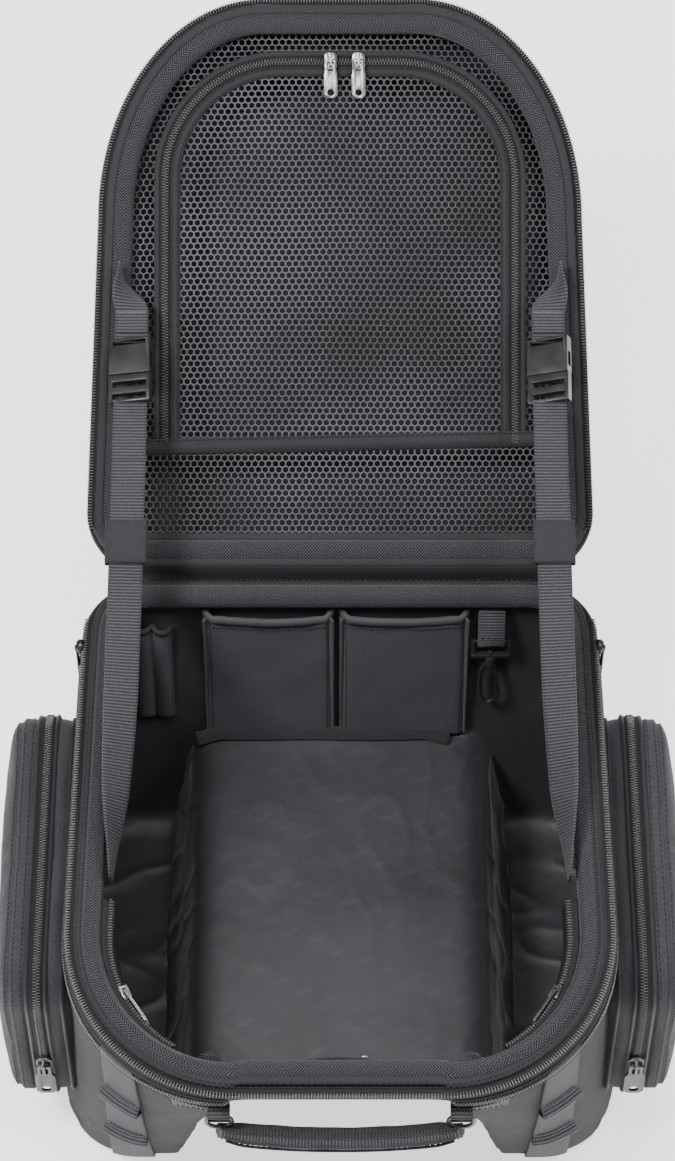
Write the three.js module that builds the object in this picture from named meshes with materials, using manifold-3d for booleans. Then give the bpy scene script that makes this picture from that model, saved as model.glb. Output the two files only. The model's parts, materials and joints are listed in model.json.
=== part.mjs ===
// A motorcycle tail bag that straddles the passenger seat, with its lid laid open on two stay straps.
// Millimetres, +Z up, -Y to the front of the bag (the carry handle), +X to its right.
// The origin is the middle of the underside of the floor, where the tunnel sits on the seat.
import * as THREE from 'three';
import { mergeVertices } from 'three/addons/utils/BufferGeometryUtils.js';
import Module from 'manifold-3d';

const wasm = await Module();
wasm.setup();

// ---- Driving dimensions ----
const RIM_Z = 173;            // height of the plane where lid and body meet
const FOOT_Z = -98;           // underside of the two saddle lobes
const HINGE_Y = 198;          // the lid turns about this line, at the height RIM_Z
const LID_OPEN = THREE.MathUtils.degToRad(147);
const LID_DEPTH = 64;
const LID_WALL = 3.5;
const GAP = 0.3;              // clearance between neighbouring pieces
const WALL = 5;               // foam-backed fabric
const WALL_TOP = RIM_Z - 19;
const BASE = { halfBack: 208, halfFront: 211, back: 148, front: -152, backRadius: 50, frontX: 55, frontY: 55 };
const RIM = { halfBack: 190, halfFront: 193, back: 198, front: -231, backRadius: 50, frontX: 122, frontY: 132 };
const LID = { halfBack: 189, halfFront: 181, back: 0, front: -432, backRadius: 46, frontX: 124, frontY: 165 };
const FRONT_RECESS = 0.22;    // how far the middle of the front is drawn back, per mm below the rim
const TUNNEL = { topHalf: 102, footHalf: 121, skin: 4, ceiling: 5 };
const BINDING = { notch: 5 + GAP, inner: 26, height: 17 };
const COIL = { width: 5, height: 6 };
const POCKET = {
  front: -133, back: 110, bottom: -38, top: 131, inner: 210, split: 220, outer: 245, wall: 3, corner: 26,
};
const STAY = {
  x: 155, bodyX: 163, bodyY: -56, bodyDrop: 8, lidReach: 226, lidHeight: -3.5, width: 25, thick: 1.6,
};
const HANDLE = { y: -225, z: 130, ringX: 84, ringHalf: 9, wire: 1.7, drop: 28, width: 24, thick: 10 };
const CLIP = { x: 114, drop: 52, width: 20, clear: 11 };

const CORNER_STEPS = 7;
const FRONT_STEPS = 10;

// ---- Small helpers ----
const lerp = THREE.MathUtils.lerp;
const smooth = THREE.MathUtils.smoothstep;

function toSolid(geometry) {
  const bare = geometry.clone();
  bare.deleteAttribute('normal');
  bare.deleteAttribute('uv');
  const merged = mergeVertices(bare, 1e-4);
  return new wasm.Manifold(new wasm.Mesh({
    numProp: 3,
    vertProperties: new Float32Array(merged.attributes.position.array),
    triVerts: new Uint32Array(merged.index.array),
  }));
}

function toGeometry(solid) {
  const made = solid.getMesh();
  const positions = new Float32Array(made.numVert * 3);
  for (let i = 0; i < made.numVert; i++) {
    positions.set(made.vertProperties.subarray(i * made.numProp, i * made.numProp + 3), i * 3);
  }
  const geometry = new THREE.BufferGeometry();
  geometry.setAttribute('position', new THREE.BufferAttribute(positions, 3));
  geometry.setIndex(new THREE.BufferAttribute(new Uint32Array(made.triVerts), 1));
  return geometry;
}

const cut = (from, ...tools) => tools.reduce((solid, tool) => solid.subtract(tool), from);
const join = (...solids) => solids.reduce((sum, solid) => sum.add(solid));

// A box between two corners, as a geometry and as a solid.
function boxGeometry(x0, x1, y0, y1, z0, z1) {
  return new THREE.BoxGeometry(x1 - x0, y1 - y0, z1 - z0)
    .translate((x0 + x1) / 2, (y0 + y1) / 2, (z0 + z1) / 2);
}
const box = (...corners) => toSolid(boxGeometry(...corners));

// An outline in X-Y, extruded from z0 up to z1.
function prism(points, z0, z1, holes = []) {
  const shape = new THREE.Shape(points);
  holes.forEach((hole) => shape.holes.push(new THREE.Path(hole)));
  return new THREE.ExtrudeGeometry(shape, { depth: z1 - z0, bevelEnabled: false, steps: 1 })
    .translate(0, 0, z0);
}

// A rectangle with round corners, centred on x, y.
function roundRect(width, height, radius, x = 0, y = 0, steps = 4) {
  const points = [];
  [[1, 1, 0], [-1, 1, 1], [-1, -1, 2], [1, -1, 3]].forEach(([sx, sy, quarter]) => {
    for (let i = 0; i <= steps; i++) {
      const angle = (quarter + i / steps) * Math.PI / 2;
      points.push(new THREE.Vector2(
        x + sx * (width / 2 - radius) + radius * Math.cos(angle),
        y + sy * (height / 2 - radius) + radius * Math.sin(angle)));
    }
  });
  return points;
}

function circle(radius, x = 0, y = 0, steps = 12) {
  return Array.from({ length: steps }, (_, i) => {
    const angle = i / steps * Math.PI * 2;
    return new THREE.Vector2(x + radius * Math.cos(angle), y + radius * Math.sin(angle));
  });
}

// Turns a prism drawn in Y-Z so that it is extruded along X, and mirrors a right-hand solid for the left.
const acrossX = (geometry) => geometry.applyMatrix4(new THREE.Matrix4().makeBasis(
  new THREE.Vector3(0, 1, 0), new THREE.Vector3(0, 0, 1), new THREE.Vector3(1, 0, 0)));
const mirrorX = (solid, sign) => (sign > 0 ? solid : solid.mirror([1, 0, 0]));

// ---- Plan outlines of the bag ----
// Counter-clockwise from the right-hand back corner. inset moves the whole outline inwards.
function planOutline(plan, inset = 0, recess = 0) {
  const points = [];
  const corner = (cx, cy, rx, ry, quarter) => {
    for (let i = 0; i <= CORNER_STEPS; i++) {
      const angle = (quarter + i / CORNER_STEPS) * Math.PI / 2;
      points.push(new THREE.Vector2(cx + rx * Math.cos(angle), cy + ry * Math.sin(angle)));
    }
  };
  const backX = plan.halfBack - plan.backRadius;
  const backY = plan.back - plan.backRadius;
  const frontX = plan.halfFront - plan.frontX;
  const frontY = plan.front + plan.frontY;
  const backR = Math.max(plan.backRadius - inset, 2);
  const rx = Math.max(plan.frontX - inset, 2);
  const ry = Math.max(plan.frontY - inset, 2);
  corner(backX, backY, backR, backR, 0);
  corner(-backX, backY, backR, backR, 1);
  corner(-frontX, frontY, rx, ry, 2);
  for (let i = 1; i < FRONT_STEPS; i++) {
    const x = lerp(-frontX, frontX, i / FRONT_STEPS);
    const drawnBack = recess * (1 - smooth(Math.abs(x), 60, 122));
    points.push(new THREE.Vector2(x, plan.front + inset + drawnBack));
  }
  corner(frontX, frontY, rx, ry, 3);
  return points;
}

// The body's plan at a height, between its base and its rim.
function bodyPlan(z) {
  const share = (z - FOOT_Z) / (RIM_Z - FOOT_Z);
  return Object.fromEntries(Object.keys(BASE).map((key) => [key, lerp(BASE[key], RIM[key], share)]));
}
const bodyOutline = (z, inset = 0) => planOutline(bodyPlan(z), inset, FRONT_RECESS * (RIM_Z - z));

// A closed solid through outlines of equal length, given from the bottom up.
function loft(sections) {
  const count = sections[0].points.length;
  const positions = [];
  const index = [];
  sections.forEach(({ z, points }) => points.forEach((p) => positions.push(p.x, p.y, z)));
  for (let s = 0; s + 1 < sections.length; s++) {
    for (let i = 0; i < count; i++) {
      const a = s * count + i;
      const b = s * count + (i + 1) % count;
      index.push(a, b, b + count, a, b + count, a + count);
    }
  }
  const last = (sections.length - 1) * count;
  THREE.ShapeUtils.triangulateShape(sections[0].points, []).forEach(([a, b, c]) => index.push(c, b, a));
  THREE.ShapeUtils.triangulateShape(sections.at(-1).points, [])
    .forEach(([a, b, c]) => index.push(last + a, last + b, last + c));
  const geometry = new THREE.BufferGeometry();
  geometry.setAttribute('position', new THREE.Float32BufferAttribute(positions, 3));
  geometry.setIndex(index);
  return geometry;
}

// The body's outside, moved inwards by inset, with the lobes' lower edge rounded.
const FOOT_ROUNDING = [[FOOT_Z, 14], [FOOT_Z + 6, 5], [FOOT_Z + 20, 0]];
function bodyLoft(inset, top = WALL_TOP, drop = 0) {
  const rounded = FOOT_ROUNDING.map(([z, edge]) => ({ z, points: bodyOutline(z, inset + edge) }));
  const plain = [0, 60, 115, top].map((z) => ({ z, points: bodyOutline(z, inset) }));
  if (drop) rounded.unshift({ z: FOOT_Z - drop, points: bodyOutline(FOOT_Z, inset + 14) });
  return toSolid(loft([...rounded, ...plain]));
}

// A ring between two insets of a plan, from z0 to z1.
const ring = (plan, outer, inner, z0, z1) =>
  toSolid(prism(planOutline(plan, outer), z0, z1, [planOutline(plan, inner).reverse()]));

// ---- Materials ----
const material = (name, color, roughness, metalness = 0) =>
  new THREE.MeshStandardMaterial({ name, color, roughness, metalness });
const ballistic = material('ballistic_nylon', 0x34353a, 0.85);
const lining = material('lining_fabric', 0x2a2b30, 0.7);
const herringbone = material('binding_tape', 0x303136, 0.8);
const webbing = material('webbing', 0x38393e, 0.75);
const meshNet = material('mesh_net', 0x2c2d33, 0.6);
const coil = material('zip_coil', 0x4a4b50, 0.4);
const board = material('floor_board', 0x202124, 0.6);
const plastic = material('moulded_plastic', 0x2e2f33, 0.45);
const steel = material('plated_steel', 0x6a6b6e, 0.3, 1);

const bag = new THREE.Group();

function add(name, geometry, finish, parent = bag) {
  const mesh = new THREE.Mesh(geometry.isBufferGeometry ? geometry : toGeometry(geometry), finish);
  mesh.name = name;
  parent.add(mesh);
  return mesh;
}

const SIDES = [['left', -1], ['right', 1]];

// ---- Body walls: four sewn panels ----
const FRONT_SEAM = -92;
const BACK_SEAM = 104;
const BIG = 400;
const tunnelVoid = toSolid(prism([
  new THREE.Vector2(-TUNNEL.footHalf - 2, FOOT_Z - 10), new THREE.Vector2(TUNNEL.footHalf + 2, FOOT_Z - 10),
  new THREE.Vector2(TUNNEL.topHalf, 0), new THREE.Vector2(-TUNNEL.topHalf, 0),
], -BIG, BIG).rotateX(Math.PI / 2));
const bodyClear = bodyLoft(-2 * GAP, WALL_TOP + 5, 5);
const walls = cut(bodyLoft(0), bodyLoft(WALL, WALL_TOP + 5, 5), tunnelVoid);

add('front_panel', walls.intersect(box(-BIG, BIG, -BIG, FRONT_SEAM - GAP / 2, -BIG, BIG)), ballistic);
add('back_panel', walls.intersect(box(-BIG, BIG, BACK_SEAM + GAP / 2, BIG, -BIG, BIG)), ballistic);
SIDES.forEach(([side, sign]) => {
  const half = sign < 0 ? box(-BIG, -1, FRONT_SEAM + GAP / 2, BACK_SEAM - GAP / 2, -BIG, BIG)
    : box(1, BIG, FRONT_SEAM + GAP / 2, BACK_SEAM - GAP / 2, -BIG, BIG);
  add(`side_panel_${side}`, walls.intersect(half), ballistic);
});

// ---- Base: a hat section that forms the seat tunnel and the floor of the two lobes ----
const hat = [
  [-BIG, FOOT_Z], [-TUNNEL.footHalf, FOOT_Z], [-TUNNEL.topHalf, 0], [TUNNEL.topHalf, 0],
  [TUNNEL.footHalf, FOOT_Z], [BIG, FOOT_Z], [BIG, FOOT_Z + TUNNEL.skin],
  [TUNNEL.footHalf + TUNNEL.skin, FOOT_Z + TUNNEL.skin], [TUNNEL.topHalf + TUNNEL.skin, TUNNEL.ceiling],
  [-TUNNEL.topHalf - TUNNEL.skin, TUNNEL.ceiling], [-TUNNEL.footHalf - TUNNEL.skin, FOOT_Z + TUNNEL.skin],
  [-BIG, FOOT_Z + TUNNEL.skin],
].map(([x, z]) => new THREE.Vector2(x, z));
const hatSolid = toSolid(prism(hat, -BIG, BIG).rotateX(Math.PI / 2));
add('base_panel', hatSolid.intersect(bodyLoft(WALL + GAP)), ballistic);

const FLOOR_BOARD = { half: 112, thick: 3, radius: 26 };
const boardFront = -136;
const boardBack = 156;
add('floor_board', prism(
  roundRect(FLOOR_BOARD.half * 2, boardBack - boardFront, FLOOR_BOARD.radius, 0, (boardBack + boardFront) / 2),
  TUNNEL.ceiling + GAP, TUNNEL.ceiling + GAP + FLOOR_BOARD.thick), board);

// ---- Rim: piped binding, main zip tape and the expansion zip ----
const HINGE_CUT = RIM.back - 34;      // the zip tapes stop here, in front of the hinge
const behindZip = box(-BIG, BIG, HINGE_CUT, BIG, -BIG, BIG);
add('rim_binding', cut(ring(RIM, 0, BINDING.inner, RIM_Z - 1 - BINDING.height, RIM_Z - 1),
  ring(RIM, -5, BINDING.notch, RIM_Z - 1 - COIL.height, RIM_Z + 5)), herringbone);
add('main_zip_chain_body',
  cut(ring(RIM, 0, COIL.width, RIM_Z - 0.5 - COIL.height, RIM_Z - 0.5), behindZip), coil);

const EXPANSION = { z: RIM_Z - 26, height: 7, proud: 3 };
const expansionBand = (inset) => {
  const z0 = EXPANSION.z - EXPANSION.height / 2;
  const z1 = EXPANSION.z + EXPANSION.height / 2;
  return toSolid(loft([z0, z1].map((z) => ({ z, points: bodyOutline(z, inset) }))));
};
add('expansion_zip_chain', cut(expansionBand(-GAP - EXPANSION.proud), bodyLoft(-4 * GAP, WALL_TOP + 5, 5)), coil);

// A fabric strip that the lid turns on, sewn below the back of the rim.
const HINGE_STRIP = { half: 130, thick: 2.2, top: RIM_Z - 2, height: 18 };
add('hinge_panel', boxGeometry(-HINGE_STRIP.half, HINGE_STRIP.half, HINGE_Y + GAP, HINGE_Y + GAP + HINGE_STRIP.thick,
  HINGE_STRIP.top - HINGE_STRIP.height, HINGE_STRIP.top), ballistic);

// ---- Zip sliders and pulls ----
// Local axes: X across the slider, Y up along the chain, Z out from the fabric, origin on the fabric.
function sliderGeometry(scale) {
  const plate = toSolid(prism(roundRect(10, 14, 3), GAP, 2.3));
  const posts = join(box(-1, 1, 4, 6, 1, 7.5), box(-1, 1, -5, -3, 1, 7.5));
  const bridge = box(-1, 1, -5, 6, 5.9, 7.5);
  return toGeometry(join(plate, posts, bridge)).scale(scale, scale, scale);
}

// The pull hangs along -Y from a crossbar that lies under the slider's bridge. Its pivot is (0, 0, PIVOT).
const PIVOT = 4.1;
const PULL_THICK = 2;
function pullGeometry(scale, width, length) {
  const outline = [
    [-4.6, 1.2], [4.6, 1.2], [4.6, -8], [width / 2, -12], [width / 2, -length + 3], [width / 2 - 3, -length],
    [3 - width / 2, -length], [-width / 2, 3 - length], [-width / 2, -12], [-4.6, -8],
  ].reverse().map(([x, y]) => new THREE.Vector2(x, y));
  const window = roundRect(4.8, 6.8, 0.8, 0, -4.6, 2).reverse();
  const eye = circle(width * 0.24, 0, width * 0.42 - length, 10).reverse();
  return prism(outline, PIVOT - PULL_THICK / 2, PIVOT + PULL_THICK / 2, [window, eye]).scale(scale, scale, scale);
}

// Adds a slider and its pull at a place, turned by Euler angles. tilt lifts the pull away from the fabric.
function addZipPull(name, parent, place, turn, scale, width, length, tilt, finish) {
  const seat = new THREE.Group();
  seat.position.set(...place);
  seat.rotation.set(...turn);
  parent.add(seat);
  add(`${name}_slider`, sliderGeometry(scale), finish, seat);
  const pull = add(`${name}_pull`,
    pullGeometry(scale, width, length).translate(0, 0, -PIVOT * scale), finish, seat);
  pull.position.z = PIVOT * scale;
  pull.rotation.x = -tilt;
}

// The main zip's two sliders are parked near the back ends of the chain. Each clasps the chain from
// outside, and its pull hangs in front of the expansion zip.
const PARKED = { y: RIM.back - 62, inner: RIM.halfBack + 1.5, outer: RIM.halfBack + 8, thick: 2, drop: 44 };
SIDES.forEach(([side, sign]) => {
  const outline = roundRect(12, PARKED.drop, 4, PARKED.y, RIM_Z - PARKED.drop / 2);
  const pull = toSolid(acrossX(prism(outline, PARKED.outer - PARKED.thick, PARKED.outer)));
  const clasp = box(PARKED.inner, PARKED.outer, PARKED.y - 5, PARKED.y + 5, RIM_Z - 12, RIM_Z - 1);
  add(`main_zip_slider_${side}`, mirrorX(join(pull, clasp), sign), steel);
});

// Two inner zips run along the binding's inner edge, from the stay straps to the front corners.
const INNER_ZIP = { front: -188, back: -74, z: RIM_Z - 13, height: 8, thick: 2, standOff: 0.6 };
const innerInset = BINDING.inner + GAP + INNER_ZIP.thick;
const innerRx = RIM.frontX - innerInset;
const innerRy = RIM.frontY - innerInset;
const innerAngle = THREE.MathUtils.degToRad(28);
SIDES.forEach(([side, sign]) => {
  const band = ring(RIM, BINDING.inner + GAP, innerInset,
    INNER_ZIP.z - INNER_ZIP.height / 2, INNER_ZIP.z + INNER_ZIP.height / 2);
  const span = sign < 0 ? box(-BIG, -20, INNER_ZIP.front, INNER_ZIP.back, -BIG, BIG)
    : box(20, BIG, INNER_ZIP.front, INNER_ZIP.back, -BIG, BIG);
  add(`inner_zip_chain_${side}`, band.intersect(span), coil);
  const along = new THREE.Vector3(sign * innerRx * Math.sin(innerAngle), innerRy * Math.cos(innerAngle), 0)
    .normalize();
  const inward = new THREE.Vector3(-sign * along.y, sign * along.x, 0);
  const seat = new THREE.Group();
  new THREE.Matrix4().makeBasis(along.clone().cross(inward), along, inward)
    .setPosition(sign * (RIM.halfFront - RIM.frontX + innerRx * Math.cos(innerAngle)),
      RIM.front + RIM.frontY - innerRy * Math.sin(innerAngle), INNER_ZIP.z)
    .decompose(seat.position, seat.quaternion, seat.scale);
  seat.position.addScaledVector(inward, INNER_ZIP.standOff);
  bag.add(seat);
  addZipPull(`inner_zip_${side}`, seat, [0, 0, 0], [0, 0, 0], 0.95, 10, 32, THREE.MathUtils.degToRad(8), steel);
});

// ---- Inside of the main compartment ----
// A flat pocket that lies against a sloping wall: its profile in Y-Z is extruded across X.
function wallPiece(x0, x1, profile) {
  const points = profile.map(([y, z]) => new THREE.Vector2(y, z));
  if (THREE.ShapeUtils.area(points) < 0) points.reverse();
  return acrossX(prism(points, x0, x1));
}
const backWallY = (z) => bodyPlan(z).back - WALL - GAP;
const SKIN = 1.6;

// A pocket sewn to the back wall, open at the top. foot and mouth are its depths at its two ends.
function backPocket(x0, x1, z0, z1, foot, mouth) {
  const outer = wallPiece(x0, x1, [
    [backWallY(z0), z0], [backWallY(z1), z1], [backWallY(z1) - mouth, z1], [backWallY(z0) - foot, z0]]);
  const inner = wallPiece(x0 + SKIN, x1 - SKIN, [
    [backWallY(z0) - SKIN, z0 + 4], [backWallY(z1 + 9) - SKIN, z1 + 9],
    [backWallY(z1 + 9) - mouth + SKIN, z1 + 9], [backWallY(z0) - foot + SKIN, z0 + 4]]);
  return cut(toSolid(outer), toSolid(inner));
}
add('organizer_pocket_left', backPocket(-103, -5, 12, 150, 12, 11), lining);
add('organizer_pocket_right', backPocket(0, 97, 12, 150, 12, 11), lining);
add('pen_pocket', cut(backPocket(-157, -127, 14, 134, 12, 14), walls, bodyLoft(-60, 30)), lining);

// An inside pocket on the front wall, open at the top, with a mouth that stands out from the wall.
const FRONT_POCKET = { half: 72, z0: 40, z1: RIM_Z - 22, foot: 9, mouth: 25 };
const frontWallY = (z) => bodyPlan(z).front + FRONT_RECESS * (RIM_Z - z) + WALL + 2 * GAP;
const frontPocket = (half, z0, z1, shrink) => toSolid(wallPiece(-half, half, [
  [frontWallY(z0) + shrink, z0], [frontWallY(z0) + FRONT_POCKET.foot - shrink, z0],
  [frontWallY(z1) + FRONT_POCKET.mouth - shrink, z1], [frontWallY(z1) + shrink, z1]]));
add('front_inner_pocket', cut(frontPocket(FRONT_POCKET.half, FRONT_POCKET.z0, FRONT_POCKET.z1, 0),
  frontPocket(FRONT_POCKET.half - 2, FRONT_POCKET.z0 + 4, FRONT_POCKET.z1 + 8, SKIN),
  bodyLoft(0).subtract(bodyLoft(WALL + GAP, WALL_TOP + 5))), lining);

// ---- Key clip: a webbing tab, a swivel eye, a snap hook and its gate ----
// It lies against the sloping back wall, so its parts share one group tilted with that wall.
const wallSlope = Math.atan((RIM.back - BASE.back) / (RIM_Z - FOOT_Z));
const clipSeat = new THREE.Group();
clipSeat.position.set(CLIP.x, backWallY(RIM_Z - CLIP.drop) - CLIP.clear, RIM_Z - CLIP.drop);
clipSeat.rotation.x = -wallSlope;
bag.add(clipSeat);
const tabTube = toSolid(new THREE.CylinderGeometry(4.2, 4.2, CLIP.width, 14).rotateZ(Math.PI / 2));
const tabHole = toSolid(new THREE.CylinderGeometry(2.4, 2.4, CLIP.width + 2, 14).rotateZ(Math.PI / 2));
const tabTail = box(-CLIP.width / 2, CLIP.width / 2, 2, 4.2, 0, CLIP.drop - 22);
add('key_clip_tab', cut(join(tabTube, tabTail), tabHole), webbing, clipSeat);

// The eye is a flat frame whose top bar runs through the tab, with a socket under it for the hook's stem.
const EYE = { half: 13.5, bar: 1.5, drop: 13 };
const eyeFrame = join(
  toSolid(new THREE.CylinderGeometry(EYE.bar, EYE.bar, EYE.half * 2, 10).rotateZ(Math.PI / 2)),
  box(-EYE.half - 1.5, -EYE.half + 1.5, -1.7, 1.7, -EYE.drop, 1.5),
  box(EYE.half - 1.5, EYE.half + 1.5, -1.7, 1.7, -EYE.drop, 1.5),
  box(-EYE.half - 1.5, EYE.half + 1.5, -2.4, 2.4, -EYE.drop - 3, -EYE.drop));
const stemHole = toSolid(new THREE.CylinderGeometry(1.6, 1.6, 10, 12)
  .rotateX(Math.PI / 2).translate(0, 0, -EYE.drop - 2));
add('key_clip_eye', cut(eyeFrame, stemHole), plastic, clipSeat);

const HOOK = { top: -EYE.drop - 3 - GAP, wire: 2 };
const hookStem = join(
  toSolid(new THREE.CylinderGeometry(1.2, 1.2, 7, 12).rotateX(Math.PI / 2).translate(0, 0, HOOK.top + 2.5)),
  toSolid(new THREE.CylinderGeometry(2.4, 2.4, 1.6, 12).rotateX(Math.PI / 2).translate(0, 0, -EYE.drop + 1.1)),
  toSolid(new THREE.CylinderGeometry(4, 4.6, 7, 12).rotateX(Math.PI / 2).translate(0, 0, HOOK.top - 3.5)));
const hookPath = new THREE.CatmullRomCurve3([
  [-1, -5], [-6.5, -15], [-7.5, -30], [-6.5, -44], [-1, -51], [4.5, -48], [6.8, -42],
].map(([x, z]) => new THREE.Vector3(x, 0, HOOK.top + z)));
const hookBend = toSolid(new THREE.ExtrudeGeometry(new THREE.Shape(circle(HOOK.wire, 0, 0, 8)),
  { extrudePath: hookPath, steps: 18, bevelEnabled: false }));
add('key_clip_hook', join(hookStem, hookBend), plastic, clipSeat);

const gateTop = new THREE.Vector3(3.4, 0, HOOK.top - 9.2);
const gateEnd = new THREE.Vector3(7, 0, HOOK.top - 38.6);
const gateSeat = new THREE.Group();
gateSeat.position.copy(gateTop);
gateSeat.rotation.y = -Math.atan2(gateEnd.x - gateTop.x, gateTop.z - gateEnd.z);
clipSeat.add(gateSeat);
const GATE_LENGTH = gateTop.distanceTo(gateEnd);
add('key_clip_gate', boxGeometry(-1.1, 1.1, -1.8, 1.8, -GATE_LENGTH, 0), plastic, gateSeat);

// ---- Carry handle on the front ----
// Each tab is sewn flat to the front panel and ends in a loop that an oval ring turns in.
SIDES.forEach(([side, sign]) => {
  const x = sign * HANDLE.ringX;
  const loop = cut(
    toSolid(new THREE.CylinderGeometry(5.4, 5.4, 7, 14).rotateZ(Math.PI / 2).translate(x, HANDLE.y, HANDLE.z)),
    toSolid(new THREE.CylinderGeometry(3.4, 3.4, 9, 14).rotateZ(Math.PI / 2).translate(x, HANDLE.y, HANDLE.z)));
  const neck = box(x - 3.5, x + 3.5, HANDLE.y + 3.6, HANDLE.y + 24, HANDLE.z - 2, HANDLE.z + 5);
  const patch = box(x - 18 + sign * 18, x + 18 + sign * 18, HANDLE.y - 2, HANDLE.y + 24, HANDLE.z - 12, HANDLE.z + 9)
    .intersect(bodyLoft(-GAP - 2.5, WALL_TOP));
  add(`handle_tab_${side}`, cut(join(loop, neck, patch, box(Math.min(x, x + sign * 8), Math.max(x, x + sign * 8),
    HANDLE.y + 3.6, HANDLE.y + 24, HANDLE.z - 2, HANDLE.z + 5)), bodyClear), webbing);
  const oval = new THREE.TorusGeometry(HANDLE.ringHalf, HANDLE.wire, 8, 22).rotateX(Math.PI / 2)
    .translate(0, 0, -HANDLE.ringHalf).translate(x, HANDLE.y, HANDLE.z);
  add(`handle_ring_${side}`, oval, steel);
});
const gripPath = new THREE.CatmullRomCurve3([
  [-84, 27], [-83, 12], [-72, 0], [-40, -8], [0, -10], [40, -8], [72, 0], [83, 12], [84, 27],
].map(([x, z]) => new THREE.Vector3(x, HANDLE.y, HANDLE.z - HANDLE.drop + z)));
const grip = toSolid(new THREE.ExtrudeGeometry(new THREE.Shape(roundRect(HANDLE.thick, HANDLE.width, 4, 0, 0, 2)),
  { extrudePath: gripPath, steps: 36, bevelEnabled: false }));
const ringRoom = SIDES.map(([, sign]) => toSolid(new THREE.TorusGeometry(HANDLE.ringHalf, HANDLE.wire + GAP, 8, 22)
  .rotateX(Math.PI / 2).translate(sign * HANDLE.ringX, HANDLE.y, HANDLE.z - HANDLE.ringHalf)));
add('handle_grip', cut(grip, ...ringRoom, box(-BIG, BIG, -BIG, BIG, HANDLE.z - 12, BIG)), webbing);

// ---- Webbing runs down the front of each lobe ----
const LOBE_STRAP = { x: 155, width: 32, proud: 3 };
SIDES.forEach(([side, sign]) => {
  const x0 = sign * LOBE_STRAP.x - LOBE_STRAP.width / 2;
  const slab = box(x0, x0 + LOBE_STRAP.width, -BIG, -100, FOOT_Z + 1, RIM_Z - 30);
  add(`lobe_strap_${side}`, cut(bodyLoft(-GAP - LOBE_STRAP.proud).intersect(slab), bodyClear), webbing);
});

// ---- Side pockets: a tray against the body and a cover that opens on its bottom edge ----
// The outline is in Y-Z; x grows away from the bag, and is mirrored for the left.
const pocketOutline = (inset) => roundRect(
  POCKET.back - POCKET.front - 2 * inset, POCKET.top - POCKET.bottom - 2 * inset, POCKET.corner - inset,
  (POCKET.back + POCKET.front) / 2, (POCKET.top + POCKET.bottom) / 2, 5);
const pocketSlab = (inset, x0, x1) => toSolid(acrossX(prism(pocketOutline(inset), x0, x1)));
const pocketCrown = (inset, x0, x1) => toSolid(acrossX(loft([
  { z: x0, points: pocketOutline(inset) }, { z: x1 - 8, points: pocketOutline(inset + 3) },
  { z: x1, points: pocketOutline(inset + 14) }])));
const pocketTray = cut(pocketSlab(0, 180, POCKET.split - GAP), pocketSlab(POCKET.wall, POCKET.inner, 300));
const pocketCover = cut(pocketCrown(0, POCKET.split, POCKET.outer),
  pocketCrown(POCKET.wall, POCKET.split - 5, POCKET.outer - POCKET.wall));
const pocketZip = cut(
  pocketSlab(-2.6, POCKET.split - 8, POCKET.split - 1.6), pocketSlab(-GAP, 150, 300),
  box(150, 300, POCKET.back - 30, BIG, -BIG, POCKET.top - 40),
  box(150, 300, -BIG, BIG, -BIG, 8));
SIDES.forEach(([side, sign]) => {
  add(`pocket_tray_${side}`, cut(mirrorX(pocketTray, sign), bodyClear), ballistic);
  add(`pocket_cover_${side}`, mirrorX(pocketCover, sign), ballistic);
  add(`pocket_zip_chain_${side}`, mirrorX(pocketZip, sign), coil);
  addZipPull(`pocket_zip_${side}`, bag, [sign * (POCKET.split - 4.8), POCKET.front - 2.6, 34],
    [Math.PI / 2, 0, 0], 1.15, 13, 33, THREE.MathUtils.degToRad(2), plastic);
});

// ---- Lid: built closed in its own axes about the hinge line, then laid open ----
const lid = new THREE.Group();
lid.position.set(0, HINGE_Y, RIM_Z);
lid.rotation.x = -LID_OPEN;
bag.add(lid);
const lidLoft = (sections) => toSolid(loft(
  sections.map(([z, inset]) => ({ z, points: planOutline(LID, inset) }))));
const lidOutside = lidLoft([[7, 0], [30, -1], [46, 4], [57, 16], [LID_DEPTH, 44]]);
const lidInside = lidLoft([[2, 0], [30, -1], [46, 4], [57, 16], [LID_DEPTH, 44]].map(
  ([z, inset], i) => [i ? z - LID_WALL : z, inset + LID_WALL]));
add('lid_shell', cut(lidOutside, lidInside), ballistic, lid);
add('lid_binding', ring(LID, BINDING.notch, BINDING.inner, 1, 1 + BINDING.height), herringbone, lid);
const behindLidZip = box(-BIG, BIG, -34, BIG, -BIG, BIG);
add('lid_zip_chain', cut(ring(LID, 0, COIL.width, 0.5, 0.5 + COIL.height), behindLidZip), coil, lid);

const MESH_Z = 11;
add('lid_mesh_panel', prism(planOutline(LID, BINDING.inner + GAP), MESH_Z, MESH_Z + 1.5), meshNet, lid);

// The mesh pocket's zip: an arch that opens towards the hinge.
const ARCH = { halfFoot: 135, foot: -102, top: -389, radius: 92, width: 7 };
const archOutline = (inset) => roundRect(ARCH.halfFoot * 2 - 2 * inset, ARCH.foot - ARCH.top + 80 - 2 * inset,
  ARCH.radius - inset, 0, (ARCH.foot + 80 + ARCH.top) / 2, 7);
const archBand = toSolid(prism(archOutline(0), MESH_Z - GAP - 2, MESH_Z - GAP, [archOutline(ARCH.width).reverse()]));
add('mesh_zip_chain', cut(archBand, box(-BIG, BIG, ARCH.foot, BIG, -BIG, BIG)), coil, lid);
const MESH_PULLS = { spread: 10.5, shift: 3.5 };
SIDES.forEach(([side, sign]) => addZipPull(`mesh_zip_${side}`, lid,
  [MESH_PULLS.shift + sign * MESH_PULLS.spread, ARCH.top + ARCH.width / 2, MESH_Z - GAP - 2], [Math.PI, 0, 0], 0.95, 11, 30, 0, steel));

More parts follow.
